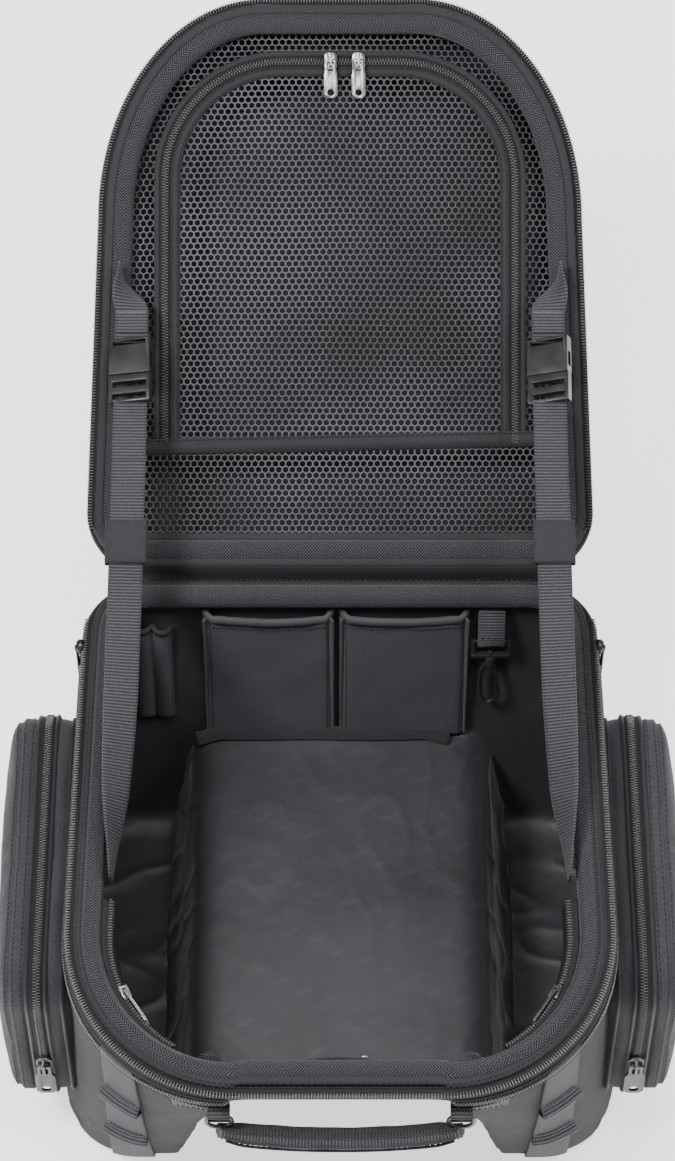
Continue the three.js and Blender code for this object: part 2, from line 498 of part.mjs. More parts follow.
// ---- Stay straps: from the lid's edge, through a side-release buckle, to the body's edge ----
// Each stay has its own group, with local -Z along the strap from the lid end.
const stayTop = new THREE.Vector3(0, -STAY.lidReach, STAY.lidHeight)
  .applyAxisAngle(new THREE.Vector3(1, 0, 0), -LID_OPEN).add(new THREE.Vector3(0, HINGE_Y, RIM_Z));
const stayFoot = new THREE.Vector3(0, STAY.bodyY, RIM_Z - STAY.bodyDrop);
const stayRun = stayFoot.clone().sub(stayTop);
const STAY_LENGTH = stayRun.length();
const stayTurn = Math.atan2(stayRun.y, -stayRun.z);
const BUCKLE = { top: 54, seam: 82, end: 104, width: 32, thick: 9 };

// A flat strap through stations [distance along the stay, x, turn]. A turn of 90 degrees lays it against a side.
function ribbon(stations) {
  const positions = [];
  stations.forEach(([along, x, degrees]) => {
    const turn = THREE.MathUtils.degToRad(degrees);
    const wide = new THREE.Vector3(Math.cos(turn), Math.sin(turn), 0).multiplyScalar(STAY.width / 2);
    const deep = new THREE.Vector3(-Math.sin(turn), Math.cos(turn), 0).multiplyScalar(STAY.thick / 2);
    [[-1, -1], [1, -1], [1, 1], [-1, 1]].forEach(([w, d]) => positions.push(
      x + w * wide.x + d * deep.x, w * wide.y + d * deep.y, -along));
  });
  const index = [0, 1, 2, 0, 2, 3];
  for (let s = 0; s + 1 < stations.length; s++) {
    for (let i = 0; i < 4; i++) {
      const a = s * 4 + i;
      const b = s * 4 + (i + 1) % 4;
      // The two broad faces take matching diagonals, so that they stay parallel through a twist.
      if (i < 2) index.push(a, b + 4, b, a, a + 4, b + 4);
      else index.push(a, a + 4, b, b, a + 4, b + 4);
    }
  }
  const end = positions.length / 3 - 4;
  index.push(end, end + 2, end + 1, end, end + 3, end + 2);
  const geometry = new THREE.BufferGeometry();
  geometry.setAttribute('position', new THREE.Float32BufferAttribute(positions, 3));
  geometry.setIndex(index);
  return geometry;
}
const twist = (from, to, x0, x1, turn0, turn1, steps = 10) => Array.from({ length: steps + 1 }, (_, i) => [
  lerp(from, to, i / steps), lerp(x0, x1, i / steps), lerp(turn0, turn1, smooth(i / steps, 0, 1))]);

const femaleBuckle = cut(
  box(-BUCKLE.width / 2, BUCKLE.width / 2, -BUCKLE.thick / 2, BUCKLE.thick / 2, -BUCKLE.seam, -BUCKLE.top),
  box(-12.5, 12.5, -3, 3, -BUCKLE.seam - 1, -BUCKLE.top - 8),
  box(-20, -11, -2.6, 2.6, -BUCKLE.seam + 5, -BUCKLE.top - 12),
  box(11, 20, -2.6, 2.6, -BUCKLE.seam + 5, -BUCKLE.top - 12),
  box(-13, 13, -9, 9, -BUCKLE.top - 5.5, -BUCKLE.top - 2));
const finger = (x0, x1, reach) => box(x0, x1, -2.2, 2.2, -BUCKLE.seam - 2, -BUCKLE.seam + reach);
const maleBuckle = cut(join(
  box(-BUCKLE.width / 2, BUCKLE.width / 2, -3.6, 3.6, -BUCKLE.end, -BUCKLE.seam - GAP),
  finger(-1.8, 1.8, 17), finger(-12, -8.2, 17), finger(8.2, 12, 17)),
  box(-13, 13, -9, 9, -BUCKLE.seam - 10, -BUCKLE.seam - 6),
  box(-13, 13, -9, 9, -BUCKLE.end + 2.5, -BUCKLE.end + 6.5));

SIDES.forEach(([side, sign]) => {
  const stay = new THREE.Group();
  stay.position.copy(stayTop).setX(sign * STAY.x);
  stay.rotation.x = stayTurn;
  bag.add(stay);
  const flip = -sign * 90;
  const out = sign * (STAY.bodyX - STAY.x);
  const slant = (along) => out * (along - BUCKLE.end) / (STAY_LENGTH - BUCKLE.end);
  add(`stay_upper_${side}`, ribbon([[0, 0, flip], ...twist(10, 44, 0, 0, flip, 0), [BUCKLE.top - GAP, 0, 0]]),
    webbing, stay);
  add(`buckle_female_${side}`, femaleBuckle, plastic, stay);
  add(`buckle_male_${side}`, maleBuckle, plastic, stay);
  const bend = STAY_LENGTH - 46;
  add(`stay_strap_${side}`, ribbon([[BUCKLE.end + GAP, 0, 0],
    ...twist(bend, STAY_LENGTH - 10, slant(bend), slant(STAY_LENGTH - 10), 0, flip), [STAY_LENGTH, out, flip]]),
  webbing, stay);
});

export default bag;
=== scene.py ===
"""Looks of a soft motorcycle tail bag, its lid open on two stay straps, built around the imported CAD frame."""

import json
import math

import bmesh
import bpy
import numpy as np
from mathutils import Matrix, Vector, noise

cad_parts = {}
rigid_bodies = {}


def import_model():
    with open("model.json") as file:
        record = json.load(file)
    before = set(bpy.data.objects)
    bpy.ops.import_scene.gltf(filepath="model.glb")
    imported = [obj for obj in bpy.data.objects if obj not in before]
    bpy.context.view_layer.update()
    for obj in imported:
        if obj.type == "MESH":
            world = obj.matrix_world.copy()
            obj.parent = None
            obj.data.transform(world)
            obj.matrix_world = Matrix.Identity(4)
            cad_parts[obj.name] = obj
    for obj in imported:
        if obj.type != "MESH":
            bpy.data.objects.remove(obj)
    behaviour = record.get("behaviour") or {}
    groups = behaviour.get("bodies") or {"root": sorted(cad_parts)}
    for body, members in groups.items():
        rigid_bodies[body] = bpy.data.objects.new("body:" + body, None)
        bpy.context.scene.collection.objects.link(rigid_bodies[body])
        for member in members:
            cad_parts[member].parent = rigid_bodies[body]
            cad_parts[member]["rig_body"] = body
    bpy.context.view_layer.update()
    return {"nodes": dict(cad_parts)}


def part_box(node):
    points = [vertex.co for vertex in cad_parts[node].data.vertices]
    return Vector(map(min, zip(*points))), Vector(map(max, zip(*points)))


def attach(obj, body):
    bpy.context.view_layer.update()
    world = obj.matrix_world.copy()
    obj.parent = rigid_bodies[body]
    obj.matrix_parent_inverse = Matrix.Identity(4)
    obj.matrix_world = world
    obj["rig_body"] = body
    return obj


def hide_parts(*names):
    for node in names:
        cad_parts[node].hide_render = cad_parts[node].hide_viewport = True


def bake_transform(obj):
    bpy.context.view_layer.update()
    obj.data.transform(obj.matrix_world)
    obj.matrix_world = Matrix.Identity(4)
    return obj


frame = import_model()

# Sizes and places are in millimetres, in the frame's own axes; MM turns them into the frame's metres.
MM = 0.001
RIM_Z = 173.0
FOOT_Z = -98.0
HINGE = np.array([0.0, 198.0, 173.0])
OPEN = math.radians(147)
BASE = dict(half_back=208, half_front=211, back=148, front=-152, back_r=50, front_x=55, front_y=55)
RIM = dict(half_back=190, half_front=193, back=198, front=-231, back_r=50, front_x=122, front_y=132)
LID = dict(half_back=189, half_front=181, back=0, front=-432, back_r=46, front_x=124, front_y=165)
FRONT_RECESS = 0.22
SIDES = (("left", -1), ("right", 1))
UP = (0, 0, 1)


# ---------------------------------------------------------------- outlines
def arc(cx, cy, rx, ry, start, steps=40):
    """A quarter turn, counter-clockwise from start."""
    turn = np.linspace(0, math.pi / 2, steps)
    return [(cx + rx * math.cos(a + start), cy + ry * math.sin(a + start)) for a in turn]


def plan_outline(plan, inset, recess, count):
    """Closed plan outline, counter-clockwise from the middle of the back, at even spacing."""
    half_back, r = plan["half_back"] - plan["back_r"], max(plan["back_r"] - inset, 2)
    back_y = plan["back"] - plan["back_r"]
    rx, ry = max(plan["front_x"] - inset, 2), max(plan["front_y"] - inset, 2)
    fx, fy = plan["half_front"] - plan["front_x"], plan["front"] + plan["front_y"]
    pts = [(0.0, plan["back"] - inset)]
    pts += arc(-half_back, back_y, r, r, math.pi / 2)
    pts += arc(-fx, fy, rx, ry, math.pi)
    for x in np.linspace(-fx, fx, 60)[1:-1]:
        pts.append((x, plan["front"] + inset + recess * (1 - smoothstep(abs(x), 60, 122))))
    pts += arc(fx, fy, rx, ry, 1.5 * math.pi)
    pts += arc(half_back, back_y, r, r, 0.0)
    return resample(np.array(pts), count, closed=True)


def smoothstep(x, a, b):
    t = min(max((x - a) / (b - a), 0.0), 1.0)
    return t * t * (3 - 2 * t)


def lengths_along(pts):
    """The distance from the first point to each point."""
    return np.concatenate([[0], np.cumsum(np.linalg.norm(np.diff(pts, axis=0), axis=1))])


def resample(pts, count, closed=False):
    pts = np.asarray(pts, float)
    if closed:
        pts = np.vstack([pts, pts[:1]])
    step = np.linalg.norm(np.diff(pts, axis=0), axis=1)
    pts = pts[np.concatenate([[True], step > 1e-6])]
    at = lengths_along(pts)
    want = np.linspace(0, at[-1], count, endpoint=not closed)
    return np.stack([np.interp(want, at, pts[:, i]) for i in range(pts.shape[1])], axis=1)


def length_of(pts, closed=False):
    pts = np.asarray(pts, float)
    return float(lengths_along(np.vstack([pts, pts[:1]]) if closed else pts)[-1])


def body_plan(z):
    share = (z - FOOT_Z) / (RIM_Z - FOOT_Z)
    return {key: BASE[key] + (RIM[key] - BASE[key]) * share for key in BASE}


def body_outline(z, inset, count):
    return plan_outline(body_plan(z), inset, FRONT_RECESS * (RIM_Z - z), count)


def back_wall_y(z):
    return body_plan(z)["back"] - 5.3


def front_wall_y(z):
    return body_plan(z)["front"] + FRONT_RECESS * (RIM_Z - z) + 5.6


def to_3d(outline, z):
    return np.column_stack([outline, np.full(len(outline), float(z))])


def lid_world(pts):
    """Lid coordinates (closed, about the hinge line) to the open lid's place."""
    p = np.asarray(pts, float).reshape(-1, 3)
    c, s = math.cos(OPEN), math.sin(OPEN)
    out = np.empty_like(p)
    out[:, 0] = p[:, 0]
    out[:, 1] = p[:, 1] * c + p[:, 2] * s
    out[:, 2] = -p[:, 1] * s + p[:, 2] * c
    return out + HINGE


# ---------------------------------------------------------------- mesh makers
def make(name, verts, faces, mat, body, slot=None, uvs=None, smooth=True, world=None, replaces=()):
    """Makes a mesh object from millimetres. uvs are per vertex, in millimetres."""
    verts = np.asarray(verts, float).reshape(-1, 3)
    if world is not None:
        verts = world(verts)
    mesh = bpy.data.meshes.new(name)
    mesh.from_pydata((verts * MM).tolist(), [], [tuple(int(i) for i in f) for f in faces])
    mesh.validate()
    if uvs is not None:
        layer = mesh.uv_layers.new(name="UVMap")
        uvs = np.asarray(uvs, float)
        index = np.empty(len(mesh.loops), dtype=np.int32)
        mesh.loops.foreach_get("vertex_index", index)
        layer.data.foreach_set("uv", (uvs[index] * MM * 100).ravel())
    mesh.polygons.foreach_set("use_smooth", [smooth] * len(mesh.polygons))
    mesh.materials.append(mat)
    obj = bpy.data.objects.new(name, mesh)
    bpy.context.scene.collection.objects.link(obj)
    if body:
        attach(obj, body)
    if replaces:
        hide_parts(*replaces)
    return obj


class Heap:
    """Collects many small solids into one mesh."""

    def __init__(self):
        self.verts, self.faces, self.uvs, self.count = [], [], [], 0

    def add(self, verts, faces, uvs=None):
        verts = np.asarray(verts, float).reshape(-1, 3)
        self.verts.append(verts)
        self.uvs.append(np.zeros((len(verts), 2)) if uvs is None else np.asarray(uvs, float))
        self.faces.extend([tuple(i + self.count for i in f) for f in faces])
        self.count += len(verts)

    def make(self, name, mat, body, slot=None, **more):
        return make(name, np.vstack(self.verts), self.faces, mat, body, slot, uvs=np.vstack(self.uvs), **more)


def frames(path, closed, up=None):
    """Tangent, side and up vectors along a path. up may be one vector or one per point."""
    path = np.asarray(path, float)
    if closed:
        tangent = np.roll(path, -1, axis=0) - np.roll(path, 1, axis=0)
    else:
        tangent = np.gradient(path, axis=0)
    tangent /= np.linalg.norm(tangent, axis=1)[:, None] + 1e-12
    up = np.broadcast_to(np.array([0, 0, 1.0]) if up is None else np.asarray(up, float), path.shape)
    side = np.cross(tangent, up)
    side /= np.linalg.norm(side, axis=1)[:, None] + 1e-12
    top = np.cross(side, tangent)
    return tangent, side, top


def sweep_data(path, profile, closed=False, up=None, scale=None, caps=True):
    """Verts, faces and uvs of a closed profile [(side, up)] swept along a path; side points to its right."""
    path = np.asarray(path, float)
    _, side, top = frames(path, closed, up)
    profile = np.asarray(profile, float)
    size = np.ones(len(path)) if scale is None else scale
    verts = (path[:, None, :] + side[:, None, :] * (profile[None, :, 0] * size[:, None])[..., None]
             + top[:, None, :] * (profile[None, :, 1] * size[:, None])[..., None])
    if closed:
        verts = np.concatenate([verts, verts[:1]], axis=0)
    verts = np.concatenate([verts, verts[:, :1]], axis=1)
    loops, ring = verts.shape[:2]
    along = lengths_along(np.vstack([path, path[:1]]) if closed else path)
    across = lengths_along(np.vstack([profile, profile[:1]]))
    uvs = np.stack(np.broadcast_arrays(along[:loops, None], across[None, :ring]), axis=-1)
    faces = []
    for i in range(loops - 1):
        a = i * ring
        for j in range(ring - 1):
            faces.append((a + j, a + j + 1, a + ring + j + 1, a + ring + j))
    if caps and not closed:
        faces.append(tuple(range(ring - 2, -1, -1)))
        last = (loops - 1) * ring
        faces.append(tuple(range(last, last + ring - 1)))
    return verts.reshape(-1, 3), faces, uvs.reshape(-1, 2)


def sweep(name, path, profile, mat, body, slot=None, world=None, replaces=(), **how):
    verts, faces, uvs = sweep_data(path, profile, **how)
    return make(name, verts, faces, mat, body, slot, uvs=uvs, world=world, replaces=replaces)


def oval(width, height, count=10, power=2.0):
    """An oval section; a higher power makes it squarer."""
    pts = []
    for i in range(count):
        a = -2 * math.pi * i / count
        c, s = math.cos(a), math.sin(a)
        x = width / 2 * math.copysign(abs(c) ** (2 / power), c)
        pts.append((x, height / 2 * math.copysign(abs(s) ** (2 / power), s)))
    return pts


def slab(half, low, high):
    """The section of a flat tape, half its width to each side."""
    return [(-half, low), (half, low), (half, high), (-half, high)]


def tube(heap, path, radius, count=8, closed=False, up=None):
    heap.add(*sweep_data(path, oval(2 * radius, 2 * radius, count), closed=closed, up=up))


# A small bar with rounded ends, along the x axis of its own frame.
BAR_RINGS = ((-0.5, 0.45), (-0.36, 0.95), (0.36, 0.95), (0.5, 0.45))


def bar(centre, along, up, length, width, height, sides=6):
    along, up = np.asarray(along, float), np.asarray(up, float)
    across = np.cross(up, along)
    verts = []
    for share, size in BAR_RINGS:
        for k in range(sides):
            a = 2 * math.pi * (k + 0.5) / sides
            round_it = across * (math.cos(a) * width / 2 * size) + up * (math.sin(a) * height / 2 * size)
            verts.append(centre + along * (share * length) + round_it)
    faces = grid_faces(len(BAR_RINGS), sides, closed=True)
    last = (len(BAR_RINGS) - 1) * sides
    return verts, faces + [tuple(range(sides - 1, -1, -1)), tuple(range(last, last + sides))]


def evenly(path, up, pitch, closed):
    """Points a pitch apart along a path, with their tangents, sides and up vectors."""
    count = max(int(length_of(path, closed) / pitch), 2)
    pts = resample(path, count, closed)
    ups = np.broadcast_to(up, (count, 3)) if np.ndim(up) == 1 else resample(up, count, closed)
    return pts, *frames(pts, closed, ups)


def teeth(heap, path, up, closed, pitch=2.15, width=5.4, height=2.0, one_side=0, lift=0.0):
    """Coil teeth along a path: two interlocked rows, or one row on the side that one_side gives."""
    for place, tangent, side, top in zip(*evenly(path, up, pitch, closed)):
        if one_side:
            c = place + side * (one_side * width * 0.2) + top * lift
            heap.add(*bar(c, side, top, width * 0.7, pitch * 0.5, height))
            continue
        for shift, sign in ((0.0, 1), (0.5, -1)):
            c = place + tangent * (shift * pitch) + side * (sign * width * 0.2) + top * lift
            heap.add(*bar(c, side * sign, top, width * 0.56, pitch * 0.36, height))


def zip_teeth(name, path, up, body, closed=False, world=None, replaces=(), **how):
    chain = Heap()
    teeth(chain, path, up, closed, **how)
    chain.make(name, COIL, body, "zip_coil", world=world, replaces=replaces)


def piping(name, cords, body, up, world=None):
    """Closed cords; each is (path, radius)."""
    heap = Heap()
    for path, radius in cords:
        tube(heap, path, radius, closed=True, up=up)
    heap.make(name, PIPING, body, "binding_tape", world=world)


def stitches(heap, path, up, pitch=4.0, long=2.8, wide=1.1, lift=0.25, closed=False):
    rows = list(zip(*evenly(path, up, pitch, closed)))
    for place, tangent, _, top in rows if closed else rows[:-1]:
        middle = place + tangent * (pitch / 2) + top * lift
        heap.add(*bar(middle, tangent, top, long, wide, wide * 0.8, sides=5))


def sew(name, body, slot, lines, world=None):
    """One mesh of stitches; lines holds (path, up, the options of stitches)."""
    seam = Heap()
    for path, up, how in lines:
        stitches(seam, path, up, **how)
    seam.make(name, THREAD, body, slot, world=world)


def grid_faces(rows, cols, closed=False):
    faces = []
    for i in range(rows - 1):
        for j in range(cols - (0 if closed else 1)):
            a, b = i * cols + j, i * cols + (j + 1) % cols
            faces.append((a, b, b + cols, a + cols))
    return faces


def patch(name, fn, rows, cols, size, mat, body, slot=None, thick=0.0, **more):
    """A sheet from fn(s, t) -> point, with s and t from 0 to 1, and its size (u, v) in millimetres."""
    verts, uvs = [], []
    for i in range(rows):
        for j in range(cols):
            s, t = j / (cols - 1), i / (rows - 1)
            verts.append(fn(s, t))
            uvs.append((s * size[0], t * size[1]))
    obj = make(name, verts, grid_faces(rows, cols), mat, body, slot, uvs=uvs, **more)
    if thick:
        thicken(obj, thick, 0.0)
    return obj


def apply_all(obj):
    depsgraph = bpy.context.evaluated_depsgraph_get()
    mesh = bpy.data.meshes.new_from_object(obj.evaluated_get(depsgraph))
    old = obj.data
    obj.modifiers.clear()
    obj.data = mesh
    mesh.name = old.name
    bpy.data.meshes.remove(old)
    return obj


def snapped(obj, points, lift=0.0, normals=False):
    """Points moved onto the surface of obj, raised by lift; with the surface's normals if asked."""
    out, ups = [], []
    for p in np.asarray(points, float).reshape(-1, 3):
        found, place, normal, _ = obj.closest_point_on_mesh(Vector(p * MM))
        if not found:
            place, normal = Vector(p * MM), Vector((0, 0, 1))
        out.append(np.array(place) / MM + np.array(normal) * lift)
        ups.append(np.array(normal))
    return (np.array(out), np.array(ups)) if normals else np.array(out)


def wave(x, y, z, size, seed=0.0):
    """Smooth noise from -1 to 1 at a size in millimetres."""
    return noise.noise(Vector((x / size + seed, y / size + seed * 1.7, z / size - seed)))


def coordinates(mesh):
    """Vertex positions, in the frame's own units."""
    co = np.empty(len(mesh.vertices) * 3)
    mesh.vertices.foreach_get("co", co)
    return co.reshape(-1, 3)


def move_verts(obj, fn):
    """Moves vertices by fn(point_mm, normal) -> offset in millimetres."""
    mesh = obj.data
    co = coordinates(mesh) / MM
    normals = [np.array(v.normal[:]) for v in mesh.vertices]
    offsets = np.array([fn(p, n) for p, n in zip(co, normals)])
    mesh.vertices.foreach_set("co", ((co + offsets) * MM).ravel())
    mesh.update()


# ---------------------------------------------------------------- materials
class Nodes:
    """A short way to write node graphs: each call makes a node and returns its output."""

    def __init__(self, mat):
        mat.use_nodes = True
        self.tree = mat.node_tree
        self.shader = self.tree.nodes["Principled BSDF"]
        coords = self.tree.nodes.new("ShaderNodeTexCoord")
        self.object, self.uv = coords.outputs["Object"], coords.outputs["UV"]

    def link(self, value, socket):
        if isinstance(value, bpy.types.NodeSocket):
            self.tree.links.new(value, socket)
        else:
            socket.default_value = value

    def math(self, kind, a, b=0.0, c=0.0):
        node = self.tree.nodes.new("ShaderNodeMath")
        node.operation = kind
        for value, socket in zip((a, b, c), node.inputs):
            self.link(value, socket)
        return node.outputs[0]

    def noise(self, scale, detail=2.0):
        node = self.tree.nodes.new("ShaderNodeTexNoise")
        node.inputs["Scale"].default_value = scale
        node.inputs["Detail"].default_value = detail
        self.link(self.object, node.inputs["Vector"])
        return node.outputs["Fac"]

    def mix(self, a, share_a, b, share_b):
        return self.math("ADD", self.math("MULTIPLY", a, share_a), self.math("MULTIPLY", b, share_b))

    def sine(self, length, wavelength, shift=0.0):
        """A sine wave along a length."""
        turns = self.math("MULTIPLY", self.math("ADD", length, shift), 2 * math.pi / wavelength)
        return self.math("SINE", turns)

    def xyz(self, where):
        node = self.tree.nodes.new("ShaderNodeSeparateXYZ")
        self.link(where, node.inputs[0])
        return node.outputs[0], node.outputs[1], node.outputs[2]

    def ramp(self, fac, low, high, a, b):
        """Colour a where fac is low and below, colour b where it is high and above."""
        node = self.tree.nodes.new("ShaderNodeValToRGB")
        node.color_ramp.elements[0].position, node.color_ramp.elements[1].position = low, high
        node.color_ramp.elements[0].color, node.color_ramp.elements[1].color = (*a, 1), (*b, 1)
        self.link(fac, node.inputs[0])
        return node.outputs[0]

    def span(self, fac, low, high, a, b):
        node = self.tree.nodes.new("ShaderNodeMapRange")
        for value, socket in zip((fac, low, high, a, b), node.inputs):
            self.link(value, socket)
        return node.outputs[0]

    def bump(self, height, distance, strength=1.0):
        node = self.tree.nodes.new("ShaderNodeBump")
        node.inputs["Strength"].default_value = strength
        node.inputs["Distance"].default_value = distance
        self.link(height, node.inputs["Height"])
        self.link(node.outputs[0], self.shader.inputs["Normal"])

    def colour(self, fac, low, high, dark, light, tint):
        """The base colour goes from dark to light as fac goes from low to high."""
        shades = [tuple(level * t for t in tint) for level in (dark, light)]
        self.link(self.ramp(fac, low, high, *shades), self.shader.inputs["Base Color"])

    def roughness(self, fac, low, high, a, b):
        self.link(self.span(fac, low, high, a, b), self.shader.inputs["Roughness"])


def new_material(name, rough, metallic=0.0, sheen=0.0, specular=0.5):
    mat = bpy.data.materials.new(name)
    nodes = Nodes(mat)
    shader = nodes.shader.inputs
    shader["Roughness"].default_value = rough
    shader["Metallic"].default_value = metallic
    shader["Sheen Weight"].default_value = sheen
    shader["Sheen Roughness"].default_value = 0.4
    shader["Specular IOR Level"].default_value = specular
    return mat, nodes


CLOTH_TINT = (1.0, 0.985, 1.16)
UV_CM = 10.0             # a UV unit is a centimetre, so this turns UVs into millimetres


def speckled_fabric(name, level, speckle=0.45, grain=1150.0, rough=0.86, sheen=0.12, depth=0.0005):
    """Plain-woven nylon: fine light and dark speckle, with a slow variation from handling."""
    mat, n = new_material(name, rough, sheen=sheen, specular=0.35)
    fine, slow = n.noise(grain, 2.0), n.noise(14.0, 3.0)
    dark, light = level * (1 - speckle), level * (1 + speckle)
    n.colour(n.mix(fine, 0.8, slow, 0.2), 0.34, 0.66, dark, light, CLOTH_TINT)
    n.roughness(fine, 0.3, 0.7, rough + 0.06, rough - 0.08)
    x, y, z = n.xyz(n.object)
    weave = n.math("MULTIPLY", n.sine(x, 0.0011, z), n.sine(y, 0.0011, z))
    n.bump(n.math("ADD", n.math("MULTIPLY", weave, 0.35), fine), depth, 0.7)
    return mat


def satin_lining():
    """Thin coated lining: smooth, with soft puckers and faint tone-on-tone diagonal dashes."""
    mat, n = new_material("satin_lining", 0.5, sheen=0.15, specular=0.45)
    x, y, _ = n.xyz(n.object)
    slope, cross = n.mix(x, 0.86, y, 0.5), n.mix(y, 0.86, x, -0.5)
    lines = n.math("MAXIMUM", n.sine(cross, 0.016), 0.0)
    dashes = n.math("MAXIMUM", n.math("SINE", n.mix(slope, 2 * math.pi / 0.05, cross, 90.0)), 0.0)
    marks = n.span(n.math("MULTIPLY", lines, dashes), 0.55, 0.7, 0.0, 1.0)
    fine, slow = n.noise(1500.0, 2.0), n.noise(9.0, 3.0)
    shade = n.math("ADD", n.mix(fine, 0.45, slow, 0.55), n.math("MULTIPLY", marks, 0.1))
    n.colour(shade, 0.3, 0.75, 0.016, 0.038, CLOTH_TINT)
    n.roughness(fine, 0.3, 0.7, 0.44, 0.6)
    n.bump(n.mix(n.noise(55.0, 4.0), 1.0, fine, 0.12), 0.0016, 0.55)
    return mat


def herringbone(name, level, column=4.0, pitch=2.3):
    """Chevron twill tape; u runs along the tape and v across it."""
    mat, n = new_material(name, 0.8, sheen=0.1, specular=0.35)
    u, v, _ = n.xyz(n.uv)
    zigzag = n.math("PINGPONG", n.math("MULTIPLY", v, UV_CM), column)
    rib = n.sine(n.math("MULTIPLY", u, UV_CM), pitch, zigzag)
    fine = n.noise(1400.0, 2.0)
    shade = n.math("ADD", n.math("MULTIPLY", rib, 0.28), fine)
    n.colour(shade, 0.28, 0.8, level * 0.15, level * 2.1, CLOTH_TINT)
    n.roughness(rib, -1.0, 1.0, 0.88, 0.7)
    n.bump(n.mix(rib, 0.5, fine, 0.4), 0.0006, 0.9)
    return mat


def ribbed_webbing(name, upright=False):
    """Woven webbing with ribs across it; u runs along the strap, or v does where it is upright."""
    level, pitch = 0.04, 2.4
    mat, n = new_material(name, 0.72, sheen=0.1, specular=0.4)
    u, v, _ = n.xyz(n.uv)
    if upright:
        u, v = v, u
    jitter = n.math("MULTIPLY", n.noise(220.0, 2.0), 0.5)
    rib = n.sine(n.math("MULTIPLY", u, UV_CM), pitch, jitter)
    warp = n.sine(n.math("MULTIPLY", v, UV_CM), 1.6)
    shade = n.math("ADD", n.mix(rib, 0.3, warp, 0.06), n.noise(1300.0, 2.0))
    n.colour(shade, 0.25, 0.8, level * 0.4, level * 1.7, CLOTH_TINT)
    n.roughness(rib, -1.0, 1.0, 0.82, 0.6)
    n.bump(n.mix(rib, 0.6, warp, 0.2), 0.0005, 0.9)
    return mat


def thread_material(name, level, rough, sheen=0.1, grain=1800.0, specular=0.4, painted_shade=0.0, tint=CLOTH_TINT):
    """Cord, yarn or coil. Its tone can carry painted shade: slow noise that makes it darker and lighter in
    broad patches, standing in for the shade in the folds of a net; one argument sets its share.
    """
    mat, n = new_material(name, rough, sheen=sheen, specular=specular)
    fine, slow = n.noise(grain, 2.0), n.noise(8.0, 1.0)
    # painted shade: the slow noise's share of the colour stands in for the shade in the net's folds
    n.colour(n.mix(fine, 1 - painted_shade, slow, painted_shade), 0.34, 0.66, level * 0.4, level * 1.6, tint)
    n.roughness(fine, 0.3, 0.7, rough - 0.08, rough + 0.1)
    n.bump(fine, 0.0002, 0.6)
    return mat


def hard_material(name, level, rough, metallic=0.0, grain=900.0, wear=0.35, tint=(1, 1, 1)):
    """Moulded plastic or plated metal: fine grain and slow tarnish, as noise in tone and roughness."""
    mat, n = new_material(name, rough, metallic=metallic)
    fine, slow = n.noise(grain, 3.0), n.noise(60.0, 3.0)
    shade = n.mix(fine, 0.4, slow, 0.6)
    n.colour(shade, 0.3, 0.7, level * (1 - wear), level * (1 + wear), tint)
    n.roughness(shade, 0.3, 0.7, rough * 0.8, min(rough * 1.3, 1.0))
    n.bump(fine, 0.00012, 0.5)
    return mat


BODY_CLOTH = speckled_fabric("body_nylon", 0.016)
CASE_CLOTH = speckled_fabric("side_pocket_nylon", 0.034)
LID_CLOTH = speckled_fabric("lid_nylon", 0.026, grain=1000.0)
POCKET_CLOTH = speckled_fabric("pocket_lining", 0.05, 0.35, 1500.0, rough=0.7, sheen=0.08, depth=0.0003)
INNER_CLOTH = speckled_fabric("lid_lining", 0.018, 0.3, 1500.0, rough=0.8, sheen=0.0, depth=0.0003)
TAPE_CLOTH = speckled_fabric("plain_tape", 0.020, 0.4, 1700.0, rough=0.8, sheen=0.05, depth=0.0002)
DARK_TAPE = speckled_fabric("dark_tape", 0.009, 0.35, 1700.0, rough=0.8, sheen=0.0, depth=0.0002)
SATIN = satin_lining()
TWILL = herringbone("herringbone_tape", 0.029)
TWILL_DARK = herringbone("herringbone_dark", 0.02, column=3.0, pitch=1.9)
WEBBING = ribbed_webbing("ribbed_webbing")
WEBBING_UP = ribbed_webbing("ribbed_webbing_upright", upright=True)
# most of the net's tone variation is painted shade: slow noise standing in for the shade in its folds
NET = thread_material("net_thread", 0.042, rough=0.5, sheen=0.0, painted_shade=0.85)
PIPING = thread_material("piping_cord", 0.016, rough=0.6)
THREAD = thread_material("sewing_thread", 0.005, rough=0.55)
COIL = thread_material("zip_coil", 0.1, 0.26, sheen=0.0, grain=2600.0, specular=0.6, tint=(1.0, 1.0, 1.0))
PLASTIC = hard_material("moulded_acetal", 0.016, 0.3, grain=1400.0)
STEEL = hard_material("nickel_plate", 0.42, 0.27, metallic=1.0, wear=0.16, tint=(1.0, 0.985, 0.96))
GUNMETAL = hard_material("gunmetal_plate", 0.10, 0.36, metallic=1.0, wear=0.3)
DARK_NICKEL = hard_material("dark_nickel_plate", 0.19, 0.3, metallic=1.0, wear=0.25)


# ---------------------------------------------------------------- soft solids
def lofted(sections):
    """Closed solid through outlines of equal count, listed from the bottom up."""
    count, last = len(sections[0]), (len(sections) - 1) * len(sections[0])
    faces = [tuple(reversed(f)) for f in grid_faces(len(sections), count, closed=True)]
    return np.vstack(sections), faces + [tuple(range(count)), tuple(range(last + count - 1, last - 1, -1))]


def cut_out(obj, cutter):
    mod = obj.modifiers.new("cut", "BOOLEAN")
    mod.operation, mod.object, mod.solver = "DIFFERENCE", cutter, "EXACT"
    apply_all(obj)
    bpy.data.objects.remove(cutter)


def fix_normals(obj):
    bm = bmesh.new()
    bm.from_mesh(obj.data)
    bmesh.ops.recalc_face_normals(bm, faces=bm.faces)
    bm.to_mesh(obj.data)
    bm.free()


